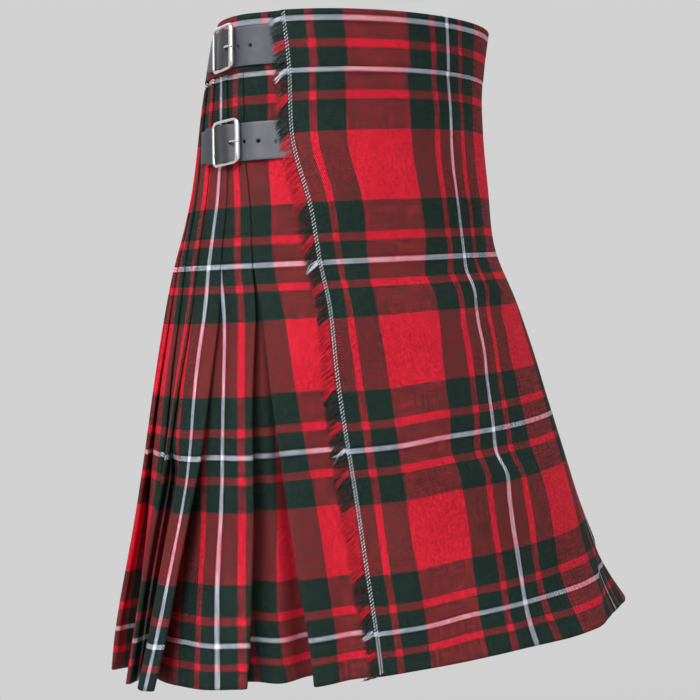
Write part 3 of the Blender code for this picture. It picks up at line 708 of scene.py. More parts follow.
def under_apron_section(below):
    """From its free left edge, under the over apron, round the reverse pleat's fold."""
    thick = layer(below)
    opened = splay(below)
    depth = under_depth(below)
    reverse = column(FOLDS, "reverse", below)
    left = under_apron_left(below)
    front = between(-left, 0 * left, UNDER_COLUMNS)
    share = left[0] / apron_width(below)[0] * np.linspace(1, 0, UNDER_COLUMNS)
    front_out = flute(below, share) - depth[:, None]
    spring = REVERSE_SPRING_AT_HEM * opened - 1 * MM
    share = np.linspace(0, 1, 22)[1:-1]
    shown = reverse[:, None] * share
    shown_out = -depth[:, None] + (depth + spring)[:, None] * ease(share, *REVERSE_SPRINGS)
    arc = fold_arc(reverse, spring - thick / 2, thick / 2, 1, APRON_FOLD)[..., ::-1]
    seam_depth = (depth + thick) * (1 - opened) + (RECESS[0] * MM - thick) * opened
    share = np.linspace(0, 1, 10)[1:]
    inner = reverse[:, None] - REVERSE_PLEAT * share
    inner_out = (spring - thick)[:, None] - (seam_depth + spring - thick)[:, None] * share
    fold = check_place("reverse", below)[:, None]
    turned = fold - (pi * thick / 2)[:, None]
    return [np.stack((join(front, shown, arc[0], inner),
                      join(front_out, shown_out, arc[1], inner_out),
                      join(fold + reverse[:, None] - join(front, shown), turned + arc[2],
                           turned - (reverse[:, None] - inner))))]


def band_over_section(below):
    """Level with the form, from the over apron's folded edge to its open edge."""
    behind = between(-apron_width(below), 0 * below, FRONT_COLUMNS)
    return [np.stack((behind, 0 * behind, with_green_edge(-(behind + APRON_WHITE))))]


def band_under_section(below):
    """At the under apron's depth, from its free left edge to past the open edge."""
    behind = between(-under_apron_left(below), 0 * below + UNDER_BAND_PAST_EDGE, UNDER_BAND_COLUMNS)
    return [np.stack((behind, 0 * behind - UNDER_AT_WAIST, -(behind + APRON_WHITE)))]


def band_back_section(below):
    """From the under band's end, climbing to the form, round the back to the folded edge."""
    start = 0 * below + UNDER_BAND_PAST_EDGE + SEAM
    behind = between(start, folded_edge(below) - SEAM, BACK_BAND_COLUMNS)
    out = -UNDER_AT_WAIST * (1 - ease(behind, *BAND_CLIMBS))
    return [np.stack((behind, out, BAND_RED_LINE + behind - BAND_RED_LINE_BEHIND))]


# ---------------- creases laid on the walls
# Each crease runs straight between two spots: below and behind of its start, below and behind
# of its end, half width and height, all in mm.
OVER_APRON_CREASES = (
    (215, -120, 262, -250, 16, 2.2),
    (240, -60, 236, -190, 10, -1.6),
    (262, -150, 300, -290, 14, -1.8),
    (395, -90, 424, -215, 14, -1.8),
    (424, -110, 452, -230, 15, 2.4),
    (300, -40, 420, -120, 24, -1.4),
    (330, -70, 520, -150, 30, 1.8),
    (90, -30, 190, -12, 9, 1.3),
    (96, -60, 180, -48, 10, -1.2),
    (470, -30, 600, -60, 22, 1.6),
    (480, -85, 606, -120, 24, -1.6),
    (110, -190, 210, -225, 18, 1.4),
    (70, -260, 190, -300, 16, 1.2),
    (300, -310, 470, -330, 22, 2.0),
    (150, -330, 320, -345, 15, -1.4),
    (500, -400, 608, -430, 20, 2.4),
)
UNDER_APRON_CREASES = (
    (150, 22, 330, 26, 9, 0.9),
    (300, 16, 470, 12, 9, -0.9),
    (430, 34, 606, 30, 10, 1.6),
)
PLEAT_CREASES = (
    (240, 96, 460, 126, 12, -6.0),
    (380, 118, 560, 132, 12, 1.6),
    (430, 160, 606, 176, 12, -2.0),
    (330, 150, 500, 172, 9, 1.2),
    (470, 235, 606, 262, 12, 2.0),
    (300, 420, 520, 470, 14, 1.6),
    (380, 560, 606, 610, 14, -1.6),
    (280, 700, 520, 780, 14, 1.4),
    (400, 860, 606, 930, 14, 1.6),
)
# Shares of a crease's length over which it rises and over which it fades.
CREASE_RISES = (-0.25, 0.3)
CREASE_FADES = (0.7, 1.25)


def creases(table, below, behind):
    """Sum of soft ridges: a bell across each crease, times a fade at its two ends."""
    total = np.zeros_like(behind)
    level = np.broadcast_to(below[:, None], behind.shape)
    for start_below, start_behind, end_below, end_behind, half_width, height in table:
        start = np.array((start_below, start_behind)) * MM
        way = np.array((end_below, end_behind)) * MM - start
        length = np.hypot(*way)
        along = ((level - start[0]) * way[0] + (behind - start[1]) * way[1]) / length ** 2
        across = ((level - start[0]) * way[1] - (behind - start[1]) * way[0]) / length
        fade = ease(along, *CREASE_RISES) * (1 - ease(along, *CREASE_FADES))
        total += height * MM * fade * np.exp(-(across / (half_width * MM)) ** 2)
    return total


# ---------------- meshes
def below_in_check(below, on_body):
    return below - np.where(on_body, BODY_WHITE, BAND_WHITE)


def placed(name, data):
    """A new object in the scene."""
    made = bpy.data.objects.new(name, data)
    bpy.context.scene.collection.objects.link(made)
    return made


def add_piece(name, mesh, material):
    """A new object with one finish."""
    mesh.materials.append(finish(material))
    return placed(name, mesh)


def carry(piece, slot, *nodes):
    """The piece rides on the kilt's one body and stands for its solids; its slot is not used."""
    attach(piece, BODY)
    if nodes:
        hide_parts(*nodes)
    return piece


def grid_faces(rows, columns, closed=False):
    """The four corners of each face of a grid, numbered row by row."""
    corner = np.arange(rows * columns).reshape(rows, columns)
    if closed:
        corner = join(corner, corner[:, :1])
    return np.stack((corner[:-1, :-1], corner[1:, :-1], corner[1:, 1:], corner[:-1, 1:]), -1)


def mesh_from(name, points, *blocks, uvs=None):
    """A smooth mesh from points, blocks of faces and the place of each face's corners."""
    faces = [face for block in blocks for face in block.reshape(-1, block.shape[-1]).tolist()]
    mesh = bpy.data.meshes.new(name)
    mesh.from_pydata(points.reshape(-1, 3).tolist(), [], faces)
    if uvs is not None:
        cloth = mesh.uv_layers.new(name="cloth")
        cloth.data.foreach_set("uv", uvs.ravel().astype(np.float32))
    mesh.shade_smooth()
    return mesh


def grid_uvs(left, right, level):
    """Corners of each face in the check: u of its two sides, v of its four points."""
    corners = ((left[:-1], level[:-1, :-1]), (left[1:], level[1:, :-1]),
               (right[1:], level[1:, 1:]), (right[:-1], level[:-1, 1:]))
    return np.stack([np.stack(corner, -1) for corner in corners], 2)


def cloth_wall(node, name, section, rows, crease_table=(), stray=False, sag=0.0):
    """A wall: its section at every level, with creases, thickened to both sides."""
    body = node not in BAND
    below = np.linspace(BODY_TOP, LENGTH, rows) if body else np.linspace(0, BAND_BOTTOM, rows)
    stretches = section(below)
    behind, out, _ = join(*(part[..., min(k, 1):] for k, part in enumerate(stretches)))
    out = out + creases(crease_table, below, behind)
    if stray:
        shift = smooth(STRAY, below / MM)[:, None] * MM
        share = ease(-behind, *STRAY_GROWS) * (1 - ease(-behind, *STRAY_FADES))
        behind = behind - shift * share
    lowered = sag * ease(below, *SAG_STARTS)[:, None] * (1 - ease(-behind, *SAG_FADES))
    uvs = grid_uvs(join(*(part[2][:, :-1] for part in stretches)),
                   join(*(part[2][:, 1:] for part in stretches)),
                   below_in_check(below, body)[:, None] - lowered)
    points = at_distance(below, behind, out)
    mesh = mesh_from(name, points, grid_faces(*behind.shape), uvs=uvs)
    made = add_piece(name, mesh, "wool_twill")
    thicken(made, sizes().cloth if body else sizes().band)
    return carry(made, "cloth", node)


def thicken(made, thickness):
    """Moves a surface out by half its thickness to each side, closed at its rims."""
    shell = made.modifiers.new("wall", "SOLIDIFY")
    shell.thickness = thickness
    shell.offset = 0
    shell.use_even_offset = True


def soften(made, width, segments=2):
    """Rounds a piece's hard rims."""
    rounded = made.modifiers.new("rims", "BEVEL")
    rounded.width = width
    rounded.segments = segments
    rounded.limit_method = "ANGLE"
    rounded.angle_limit = HARD_RIM


def apply_modifiers(made):
    """Replaces the piece's mesh by what its modifiers make of it."""
    bpy.context.view_layer.update()
    depsgraph = bpy.context.evaluated_depsgraph_get()
    done = bpy.data.meshes.new_from_object(made.evaluated_get(depsgraph))
    made.modifiers.clear()
    made.data = done


# ---------------- materials
class Nodes:
    """Adds nodes to a tree, with their inputs set or linked by name or number."""

    def __init__(self, tree):
        self.tree = tree

    def feed(self, sockets, values):
        """Sets each named or numbered socket, or links it where the value is a socket."""
        for name, value in values.items():
            if isinstance(value, bpy.types.NodeSocket):
                self.tree.links.new(value, sockets[name])
            else:
                sockets[name].default_value = value

    def add(self, kind, inputs=(), **settings):
        node = self.tree.nodes.new("ShaderNode" + kind)
        for name, value in settings.items():
            setattr(node, name, value)
        self.feed(node.inputs, dict(inputs))
        return node

    def math(self, operation, *values):
        return self.add("Math", dict(enumerate(values)), operation=operation).outputs[0]

    def mix(self, factor, first, second, blend="MIX"):
        return self.add("Mix", {0: factor, 6: first, 7: second}, data_type="RGBA",
                        blend_type=blend).outputs[2]

    def tinted(self, colour, tone):
        """A colour times a grey factor."""
        grey = self.add("CombineColor", {"Red": tone, "Green": tone, "Blue": tone})
        return self.mix(1.0, colour, grey.outputs["Color"], "MULTIPLY")

    def noise(self, place, scale, detail=2.0, roughness=0.5):
        return self.add("TexNoise", {"Vector": place, "Scale": scale, "Detail": detail,
                                     "Roughness": roughness}).outputs["Fac"]

    def bump(self, height, strength, distance):
        return self.add("Bump", {"Height": height, "Strength": strength,
                                 "Distance": distance}).outputs["Normal"]

    def spread(self, value, start, end, low, high):
        """The value's way from start to end, as the same way from low to high."""
        return self.add("MapRange", {"Value": value, "From Min": start, "From Max": end,
                                     "To Min": low, "To Max": high}).outputs[0]

    def axis(self, vector, name):
        return self.add("SeparateXYZ", {"Vector": vector}).outputs[name]

    def hump(self, turns):
        """0 at each whole turn, 1 half way between: (1 - cosine) / 2."""
        return self.math("MULTIPLY_ADD", self.math("COSINE", turns), -0.5, 0.5)

    def shared(self, name, inputs):
        """Outputs of a node group that materials share, made when it is first asked for."""
        makers = {"twill_check": twill_check_group, "fibres": fibre_group}
        group = bpy.data.node_groups.get(name) or makers[name](name)
        return self.add("Group", inputs, node_tree=group).outputs

    def cloth(self):
        return self.add("UVMap", uv_map="cloth").outputs["UV"]


def new_group(name, inputs, outputs):
    """A node group with named sockets: (kind, name) for inputs and for outputs."""
    group = bpy.data.node_groups.new(name, "ShaderNodeTree")
    for way, sockets in (("INPUT", inputs), ("OUTPUT", outputs)):
        for kind, label in sockets:
            group.interface.new_socket(name=label, in_out=way, socket_type="NodeSocket" + kind)
    nodes = Nodes(group)
    given = group.nodes.new("NodeGroupInput").outputs
    return group, nodes, given, group.nodes.new("NodeGroupOutput").inputs


def check_ramp(nodes, place):
    """Colour of a stripe: the check read at a place on the cloth."""
    repeats = nodes.math("DIVIDE", place, sizes().sett)
    ramp = nodes.add("ValToRGB", {"Fac": nodes.math("FRACT", repeats)})
    ramp.color_ramp.interpolation = "CONSTANT"
    total = sum(width for _, width in CHECK)
    stops = ramp.color_ramp.elements
    start = 0.0
    for i, (stripe, width) in enumerate(CHECK):
        stop = stops[i] if i < 2 else stops.new(start / total)
        stop.position = start / total
        stop.color = (*getattr(colours(), stripe), 1)
        start += width
    return ramp.outputs["Color"]


def twill_check_group(name):
    """Check and twill: two stripe ramps, and diagonal ribs that show one or the other.

    Where red meets green, the darker yarn covers the larger share, as painted shade from its shadow.
    """
    group, nodes, given, gives = new_group(
        name, (("Vector", "Cloth"),), (("Color", "Colour"), ("Float", "Relief"), ("Float", "Slubs")))
    along, down = (nodes.axis(given["Cloth"], axis) for axis in "XY")
    warp, weft = check_ramp(nodes, along), check_ramp(nodes, down)
    warp_light, weft_light = (nodes.add("RGBToBW", {"Color": yarn}).outputs[0]
                              for yarn in (warp, weft))
    lighter = nodes.math("SUBTRACT", weft_light, warp_light)
    amount = nodes.math("ABSOLUTE", lighter)
    # Painted shade: the darker yarn's extra share stands in for the shadow that it casts on the
    # lighter yarn.
    shade_cover = nodes.math("MINIMUM", nodes.math("MULTIPLY", amount, SHADE_COVER_PER_LIGHT), MOST_SHADE_COVER)
    fade = nodes.spread(amount, *SHADE_COVER_BESIDE_WHITE)
    shade_cover = nodes.math("MULTIPLY", nodes.math("MULTIPLY", shade_cover, fade),
                         nodes.math("SIGN", lighter))
    slubs = []
    for stretch in ((SLUBS_ALONG, SLUBS_ACROSS, 1.0), (SLUBS_ACROSS, SLUBS_ALONG, 1.0)):
        place = nodes.add("VectorMath", {0: given["Cloth"], 1: stretch}, operation="MULTIPLY")
        slubs.append(nodes.noise(place.outputs["Vector"], 1.0, 1.0))
    uneven = nodes.math("MULTIPLY_ADD", nodes.math("ADD", *slubs), 0.5, -0.5)
    share = nodes.math("ADD", nodes.math("ADD", shade_cover, 0.5), uneven)
    across = nodes.math("DIVIDE", nodes.math("ADD", along, down), sizes().yarn)
    rib = nodes.math("FRACT", nodes.math("MULTIPLY", across, 1 / YARNS_IN_RIB))
    on_top = nodes.math("LESS_THAN", rib, share)
    waves = [nodes.hump(nodes.math("MULTIPLY", nodes.math("DIVIDE", place, sizes().yarn), 2 * pi))
             for place in (along, down)]
    ridge = nodes.hump(nodes.math("MULTIPLY", rib, 2 * pi))
    yarns = nodes.add("Mix", {0: on_top, 2: waves[1], 3: waves[0]}).outputs[0]
    relief = nodes.math("MULTIPLY_ADD", yarns, 1 - RIDGE_SHARE,
                        nodes.math("MULTIPLY", ridge, RIDGE_SHARE))
    slub = nodes.add("Mix", {0: on_top, 2: slubs[0], 3: slubs[1]}).outputs[0]
    nodes.feed(gives, {"Colour": nodes.mix(on_top, weft, warp), "Relief": relief,
                       "Slubs": nodes.math("MULTIPLY_ADD", slub, *SLUB_TONES)})
    return group


def fibre_group(name):
    """Fine fibres and slow tone changes on object coordinates, as one factor near 1."""
    group, nodes, given, gives = new_group(
        name, (("Vector", "Place"), ("Float", "Fineness"), ("Float", "Strength")),
        (("Float", "Tone"), ("Float", "Fuzz")))
    fine = nodes.noise(given["Place"], given["Fineness"])
    slow = nodes.noise(given["Place"], SLOW_FIBRES, 3.0)
    fuzz = nodes.math("SUBTRACT", fine, 0.5)
    drift = nodes.math("MULTIPLY", nodes.math("SUBTRACT", slow, 0.5), SLOW_SHARE)
    tone = nodes.math("MULTIPLY_ADD", nodes.math("ADD", fuzz, drift), given["Strength"], 1.0)
    nodes.feed(gives, {"Tone": tone, "Fuzz": fine})
    return group


def new_material(name, roughness, metallic=0.0):
    """A material, its nodes, its shader's inputs and the place that its grain follows."""
    made = bpy.data.materials.new(name)
    made.use_nodes = True
    nodes = Nodes(made.node_tree)
    shader = made.node_tree.nodes["Principled BSDF"].inputs
    nodes.feed(shader, {"Roughness": roughness, "Metallic": metallic})
    return made, nodes, shader, nodes.add("TexCoord").outputs["Object"]


def wool_material(name):
    """Checked wool twill: woven colours, uneven yarns, fibres, twill relief and its painted shade and
    highlight.
    """
    made, nodes, shader, place = new_material(name, 0.82)
    check = nodes.shared("twill_check", {"Cloth": nodes.cloth()})
    fibres = nodes.shared("fibres", {"Place": place, "Strength": 1.5, "Fineness": 420.0})
    # Painted shade and highlight: the twill relief darkens the grooves and lightens the yarns' crowns.
    depth = nodes.math("MULTIPLY_ADD", check["Relief"], *RELIEF_PAINTED_SHADE)
    tone = nodes.math("MULTIPLY", depth, fibres["Tone"])
    tone = nodes.math("MULTIPLY", tone, check["Slubs"])
    height = nodes.math("MULTIPLY_ADD", fibres["Fuzz"], 0.5, check["Relief"])
    nodes.feed(shader, {"Base Color": nodes.tinted(check["Colour"], tone),
                        "Normal": nodes.bump(height, 0.7, 0.3 * MM),
                        "Specular IOR Level": 0.05})
    return made


def yarn_material(name):
    """Loose yarns in the colour of the weft stripe that they are drawn from."""
    made, nodes, shader, place = new_material(name, 0.85)
    cloth = nodes.cloth()
    weft = check_ramp(nodes, nodes.axis(cloth, "Y"))
    fibres = nodes.shared("fibres", {"Place": place, "Strength": 0.6, "Fineness": 900.0})
    ply = nodes.math("SINE", nodes.math("MULTIPLY", nodes.axis(cloth, "X"), PLY_TURNS))
    tone = nodes.math("MULTIPLY_ADD", ply, 0.12, fibres["Tone"])
    nodes.feed(shader, {"Base Color": nodes.tinted(weft, tone), "Specular IOR Level": 0.2,
                        "Sheen Weight": 0.15})
    return made


def thread_material(name):
    """Plain twisted thread."""
    made, nodes, shader, place = new_material(name, 0.7)
    fibres = nodes.shared("fibres", {"Place": place, "Strength": 0.5, "Fineness": 900.0})
    nodes.feed(shader, {"Base Color": nodes.tinted((*colours().thread, 1), fibres["Tone"])})
    return made


def leather_material(name):
    """Smooth dark leather: fine pebbled grain, faint scuffs, and painted shade towards its back end.
    """
    made, nodes, shader, place = new_material(name, 0.42)
    pebbles = nodes.add("TexVoronoi", {"Vector": place, "Scale": 900.0}, feature="SMOOTH_F1")
    scuffs = nodes.noise(place, 60.0, 6.0, 0.7)
    # Painted shade: the leather darkens towards its back end, along Y.
    darker = nodes.spread(nodes.axis(place, "Y"), *LEATHER_PAINTED_SHADE)
    tone = nodes.math("MULTIPLY", nodes.math("MULTIPLY_ADD", scuffs, 0.9, 0.6), darker)
    grain = nodes.math("MULTIPLY", pebbles.outputs["Distance"], 0.6)
    height = nodes.math("MULTIPLY_ADD", scuffs, 0.6, grain)
    nodes.feed(shader, {"Base Color": nodes.tinted((*colours().leather, 1), tone),
                        "Roughness": nodes.math("MULTIPLY_ADD", scuffs, 0.3, 0.3),
                        "Normal": nodes.bump(height, 0.35, 0.3 * MM)})
    return made


def metal_material(name):
    """Polished nickel with fine brushing and slightly dulled patches."""
    made, nodes, shader, place = new_material(name, 0.2, 1.0)
    smears = nodes.noise(place, 120.0, 5.0)
    tone = nodes.math("MULTIPLY_ADD", smears, 0.25, 0.87)
    nodes.feed(shader, {"Base Color": nodes.tinted((*colours().nickel, 1), tone),
                        "Roughness": nodes.math("MULTIPLY_ADD", smears, 0.22, 0.1),
                        "Normal": nodes.bump(nodes.noise(place, 1400.0), 0.08, 0.1 * MM)})
    return made


def finish(name):
    """A finish of the kilt, made the first time that it is asked for."""
    makers = {"wool_twill": wool_material, "loose_yarn": yarn_material,
              "white_thread": thread_material, "dark_leather": leather_material,
              "nickel_plate": metal_material}
    return bpy.data.materials.get(name) or makers[name](name)


# ---------------- small round pieces
def frames_along(path):
    """Two unit normals at each point of each path: paths are (count, points, 3)."""
    tangent = np.gradient(path, axis=1)
    tangent /= np.linalg.norm(tangent, axis=2, keepdims=True)
    upright = np.abs(tangent[..., 2:3]) > 0.9
    helper = np.where(upright, np.array((1.0, 0, 0)), np.array((0, 0, 1.0)))
    side = np.cross(tangent, helper)
    side /= np.linalg.norm(side, axis=2, keepdims=True)
    return side, np.cross(side, tangent)


def strands(name, paths, radii, levels, sides, material):
    """Many thin tapered tubes as one mesh: rings round each path, closed by a face at each end."""
    count, points, _ = paths.shape
    side, up = frames_along(paths)
    corner = np.arange(sides)
    turn = corner * 2 * pi / sides
    ring = side[:, :, None] * np.cos(turn)[:, None] + up[:, :, None] * np.sin(turn)[:, None]
    verts = paths[:, :, None] + ring * radii[:, :, None, None]
    base = (np.arange(count) * points * sides)[:, None]
    walls = grid_faces(points, sides, closed=True)[None, ..., ::-1] + base[..., None, None]
    caps = (base + corner, base + (corner + (points - 1) * sides)[::-1])
    length = join(np.zeros((count, 1)), np.cumsum(np.linalg.norm(np.diff(paths, axis=1), axis=2), 1))
    places = [np.broadcast_to(part, verts.shape[:3]).ravel()
              for part in (length[:, :, None], levels[:, None, None])]
    corners = np.concatenate([block.ravel() for block in (walls, *caps)])
    mesh = mesh_from(name, verts, walls, *caps, uvs=np.stack(places, -1)[corners])
    return add_piece(name, mesh, material)


def rounded_frame(half_x, half_y, corner, count):
    """Points round a rectangle with round corners, evenly in each corner and side."""
    turns = np.linspace(0, pi / 2, count)
    points = []
    for quarter, (side_x, side_y) in enumerate(((1, 1), (-1, 1), (-1, -1), (1, -1))):
        turn = turns + quarter * pi / 2
        points.append(np.stack((side_x * (half_x - corner) + corner * np.cos(turn),
                                side_y * (half_y - corner) + corner * np.sin(turn)), -1))
    corners = np.concatenate(points)
    line = []
    for point, after in zip(corners, np.roll(corners, -1, axis=0)):
        line.append(point)
        if np.linalg.norm(after - point) > corner:
            line += [point + (after - point) * share for share in (0.2, 0.4, 0.6, 0.8)]
    return np.array(line)


def add_rod(work, radius, length, matrix, segments):
    """A closed cylinder along the matrix's Z."""
    bmesh.ops.create_cone(work, cap_ends=True, segments=segments, radius1=radius, radius2=radius,
                          depth=length, matrix=matrix)


# ---------------- straps and buckles
class Strap:
    """A strap, its tab and its buckle, laid out by the distance past the buckle's place."""

    def __init__(self, prefix):
        self.prefix = prefix
        self.below, self.offset, self.face = STRAPS[prefix]
        right = self.offset > 0
        self.facing = 1 if right else -1
        self.start = open_fold if right else folded_edge
        root, *rises = RIGHT_STRAP_STARTS if right else LEFT_STRAP_STARTS
        self.root = self.facing * (root - self.offset)
        self.rise = [self.facing * (place - self.offset) for place in rises]
        self.on_cloth = self.face + LEATHER_CLEAR + STRAP_THICKNESS / 2

    def laid(self, sides, past, out):
        """Points on the stiff leather, from edge (side -1) to edge (side 1)."""
        half = STRAP_WIDTH / 2
        behind = self.offset + self.facing * past
        upper, lower = (on_wall(self.below + way * half, behind, out, self.start)
                        for way in (-1, 1))
        return upper + (lower - upper) * (sides[..., None] + 1) / 2

    def frame(self):
        """Matrix whose X runs along the strap past its buckle, Y across it, Z out of the cloth."""
        past = np.array((-1, 0, 1)) * MM
        before, centre, after = self.laid(np.zeros(3), past, 0)
        along = Vector((after - before).tolist()).normalized()
        up = Vector((self.laid(-np.ones(3), past, 0)[1] - centre).tolist()).normalized()
        out = along.cross(up).normalized()
        if out.dot(Vector((centre[0], centre[1], 0))) < 0:
            out = -out
        turned = Matrix((along, out.cross(along), out)).transposed().to_4x4()
        turned.translation = Vector(centre.tolist())
        return turned

    def height(self, past, root_out, rise):
        """Height of a strap's middle over the cloth: root, rise, front bar, heel bar, rear bar."""
        on_tab = self.on_cloth + TAB_THICKNESS + SEAM
        over_heel = self.face + HEEL_ABOVE_CLOTH + HEEL_RADIUS + 0.7 * MM + STRAP_THICKNESS / 2
        low = root_out + (self.on_cloth - root_out) * ease(past, *rise)
        up = ease(past, -BAR_TO_HEEL, -1 * MM)
        down = ease(past, 1 * MM, BAR_TO_HEEL)
        return low + (over_heel - self.on_cloth) * up + (on_tab - over_heel) * down

    def strip(self, kind, sides, past, out, thickness, rim):
        """Leather strip: a grid across and along the strap, thickened and rounded at its rims."""
        name = f"{self.prefix}_leather_{kind}"
        points = np.stack([self.laid(side, past, out) for side in sides])
        made = add_piece(name, mesh_from(name, points, grid_faces(*sides.shape)), "dark_leather")
        thicken(made, thickness)
        soften(made, rim)
        return made

    def make_leather(self):
        """Strap from its root over the bars to its tip, narrowed at the tip by two quarter circles."""
        tip = STRAP_BEHIND_BUCKLE
        straight_part = np.arange(self.root, tip - STRAP_CORNER, 1.5 * MM)
        turns = np.radians(np.linspace(0, 86, 14))
        past = join(straight_part, tip - STRAP_CORNER * (1 - np.sin(turns)))
        beyond = np.clip((past - (tip - STRAP_CORNER)) / STRAP_CORNER, 0, 1)
        narrowed = 1 - STRAP_CORNER * (1 - np.sqrt(1 - beyond ** 2)) / (STRAP_WIDTH / 2)
        root_out = -UNDER_AT_WAIST + STRAP_ROOT_FACE + LEATHER_CLEAR + STRAP_THICKNESS / 2
        sides = np.linspace(-1, 1, 15)[:, None] * narrowed
        made = self.strip("strap", sides, past, self.height(past, root_out, self.rise),
                          STRAP_THICKNESS, 0.35 * MM)
        self.punch(made)
        carry(made, "leather", self.prefix + "_strap")

    def punch(self, made):
        """Round holes through the strap, at even distances from the buckle's tongue."""
        apply_modifiers(made)
        turned = self.frame()
        work = bmesh.new()
        for i in range(HOLES):
            across = Matrix.Translation((FIRST_HOLE - i * HOLE_PITCH, 0, self.face))
            add_rod(work, HOLE_RADIUS, 30 * MM, turned @ across, 20)
        drill_mesh = bpy.data.meshes.new("drill")
        work.to_mesh(drill_mesh)
        work.free()
        drill = placed("drill", drill_mesh)
        cut = made.modifiers.new("holes", "BOOLEAN")
        cut.operation = "DIFFERENCE"
        cut.solver = "EXACT"
        cut.object = drill
        apply_modifiers(made)
        bpy.data.objects.remove(drill)

    def make_tab(self):
        """Flat leather strip under the buckle, as wide all along."""
        past = np.linspace(-TAB_FRONT, TAB_LENGTH, 30)
        sides = np.linspace(-1, 1, 7)[:, None] * TAB_WIDTH / STRAP_WIDTH + 0 * past
        out = self.face + LEATHER_CLEAR + TAB_THICKNESS / 2
        made = self.strip("tab", sides, past, out, TAB_THICKNESS, 0.3 * MM)
        carry(made, "leather", self.prefix + "_tab")

    def make_buckle(self):
        """Rounded frame, thicker at its front bar, and a heel bar, as closed tubes of one mesh."""
        half_x, half_y = BUCKLE_WIDTH / 2 - RAIL_RADIUS, BUCKLE_HEIGHT / 2 - RAIL_RADIUS
        line = rounded_frame(half_x, half_y, BUCKLE_CORNER, 12)
        swell = 1 + (FRONT_BAR_SWELL - 1) * ease(-line[:, 0] / half_x, 0.78, 1)
        radius = RAIL_RADIUS * swell
        nearby = np.roll(line, -1, axis=0) - np.roll(line, 1, axis=0)
        outward = np.stack((nearby[:, 1], -nearby[:, 0]), -1)
        outward /= np.linalg.norm(outward, axis=1, keepdims=True)
        turn = np.arange(RAIL_SIDES) * 2 * pi / RAIL_SIDES
        flat = outward[:, None] * np.cos(turn)[:, None] * radius[:, None, None]
        high = self.face + FRAME_ABOVE_CLOTH + np.sin(turn) * (radius * RAIL_FLATNESS)[:, None]
        points = join(line[:, None] + flat, high[..., None])
        faces = grid_faces(len(line) + 1, RAIL_SIDES, closed=True) % (len(line) * RAIL_SIDES)
        name = self.prefix + "_nickel_frame"
        mesh = mesh_from(name, points, faces)
        self.add_heel(mesh, half_y)
        mesh.transform(self.frame() @ Matrix.Rotation(self.facing * BUCKLE_TILT, 4, "Z"))
        mesh.shade_smooth()
        carry(add_piece(name, mesh, "nickel_plate"), "buckle", self.prefix + "_buckle")

    def add_heel(self, mesh, half_y):
        """A rod across the frame, at the heel bar's height."""
        work = bmesh.new()
        work.from_mesh(mesh)
        lying = Matrix.Translation((0, 0, self.face + HEEL_ABOVE_CLOTH))
        add_rod(work, HEEL_RADIUS, 2 * half_y, lying @ Matrix.Rotation(pi / 2, 4, "X"), 14)
        bmesh.ops.recalc_face_normals(work, faces=work.faces)
        work.to_mesh(mesh)
        work.free()

    def make_tongue(self):
        """Tapered prong out of a strap hole, lying over the front bar."""
        half_x = BUCKLE_WIDTH / 2 - RAIL_RADIUS
        bar_top = self.face + FRAME_ABOVE_CLOTH + RAIL_RADIUS * FRONT_BAR_SWELL * RAIL_FLATNESS
        leather = self.height(np.array((FIRST_HOLE,)), 0, (-1, -0.9))[0]
        route = np.array((
            (FIRST_HOLE + 1.5 * MM, leather - 1.2 * MM),
            (FIRST_HOLE - 0.2 * MM, leather + 0.9 * MM),
            (FIRST_HOLE - 3.0 * MM, bar_top + 0.2 * MM),
            (-half_x, bar_top + TONGUE_RADIUS * 0.7),
            (-half_x - 2.6 * MM, bar_top - 0.2 * MM),
            (-half_x - 3.4 * MM, bar_top - 1.0 * MM),
        ))
        step = np.linspace(0, len(route) - 1, 26)
        x, z = (natural_spline(np.arange(len(route)), way, step) for way in route.T)
        radii = TONGUE_RADIUS * (1.15 - 0.35 * ease(step, 3.4, 5))
        made = strands(self.prefix + "_nickel_prong", np.stack((x, 0 * x, z), -1)[None],
                       radii[None], np.zeros(1), 12, "nickel_plate")
        made.data.transform(self.frame())
        carry(made, "buckle", self.prefix + "_tongue")


# ---------------- operators
class KILT_OT_waistband(bpy.types.Operator):
    """The three stretches of the waistband"""

    bl_idname = "kilt.waistband"
    bl_label = "Waistband"

    def execute(self, context):
        for name, section, node, width in (
                ("waistband_over_twill", band_over_section, "waistband_over", 0.37),
                ("waistband_under_twill", band_under_section, "waistband_under", 0.36),
                ("waistband_back_twill", band_back_section, "waistband_back", 0.50)):
            made = cloth_wall(node, name, section, BAND_ROWS)
            soften(made, 0.7 * MM, 3)
        return {"FINISHED"}


class KILT_OT_aprons(bpy.types.Operator):
    """Over apron with its folded and open edges, and the under apron with its reverse pleat"""

    bl_idname = "kilt.aprons"
    bl_label = "Aprons"

    def execute(self, context):
        over = cloth_wall("over_apron", "over_apron_twill", over_apron_section, OVER_ROWS,
                          OVER_APRON_CREASES, stray=True, sag=SAG)
        under = cloth_wall("under_apron", "under_apron_twill", under_apron_section, UNDER_ROWS,
                           UNDER_APRON_CREASES)
        return {"FINISHED"}


class KILT_OT_pleats(bpy.types.Operator):
    """The two halves of the pleated back"""

    bl_idname = "kilt.pleats"
    bl_label = "Pleats"

    def execute(self, context):
        for name, section, node, width in (
                ("pleats_right_twill", right_back_section, "pleated_back_right", 1.2),
                ("pleats_left_twill", left_back_section, "pleated_back_left", 1.05)):
            made = cloth_wall(node, name, section, PLEAT_ROWS, PLEAT_CREASES, sag=SAG)
        return {"FINISHED"}


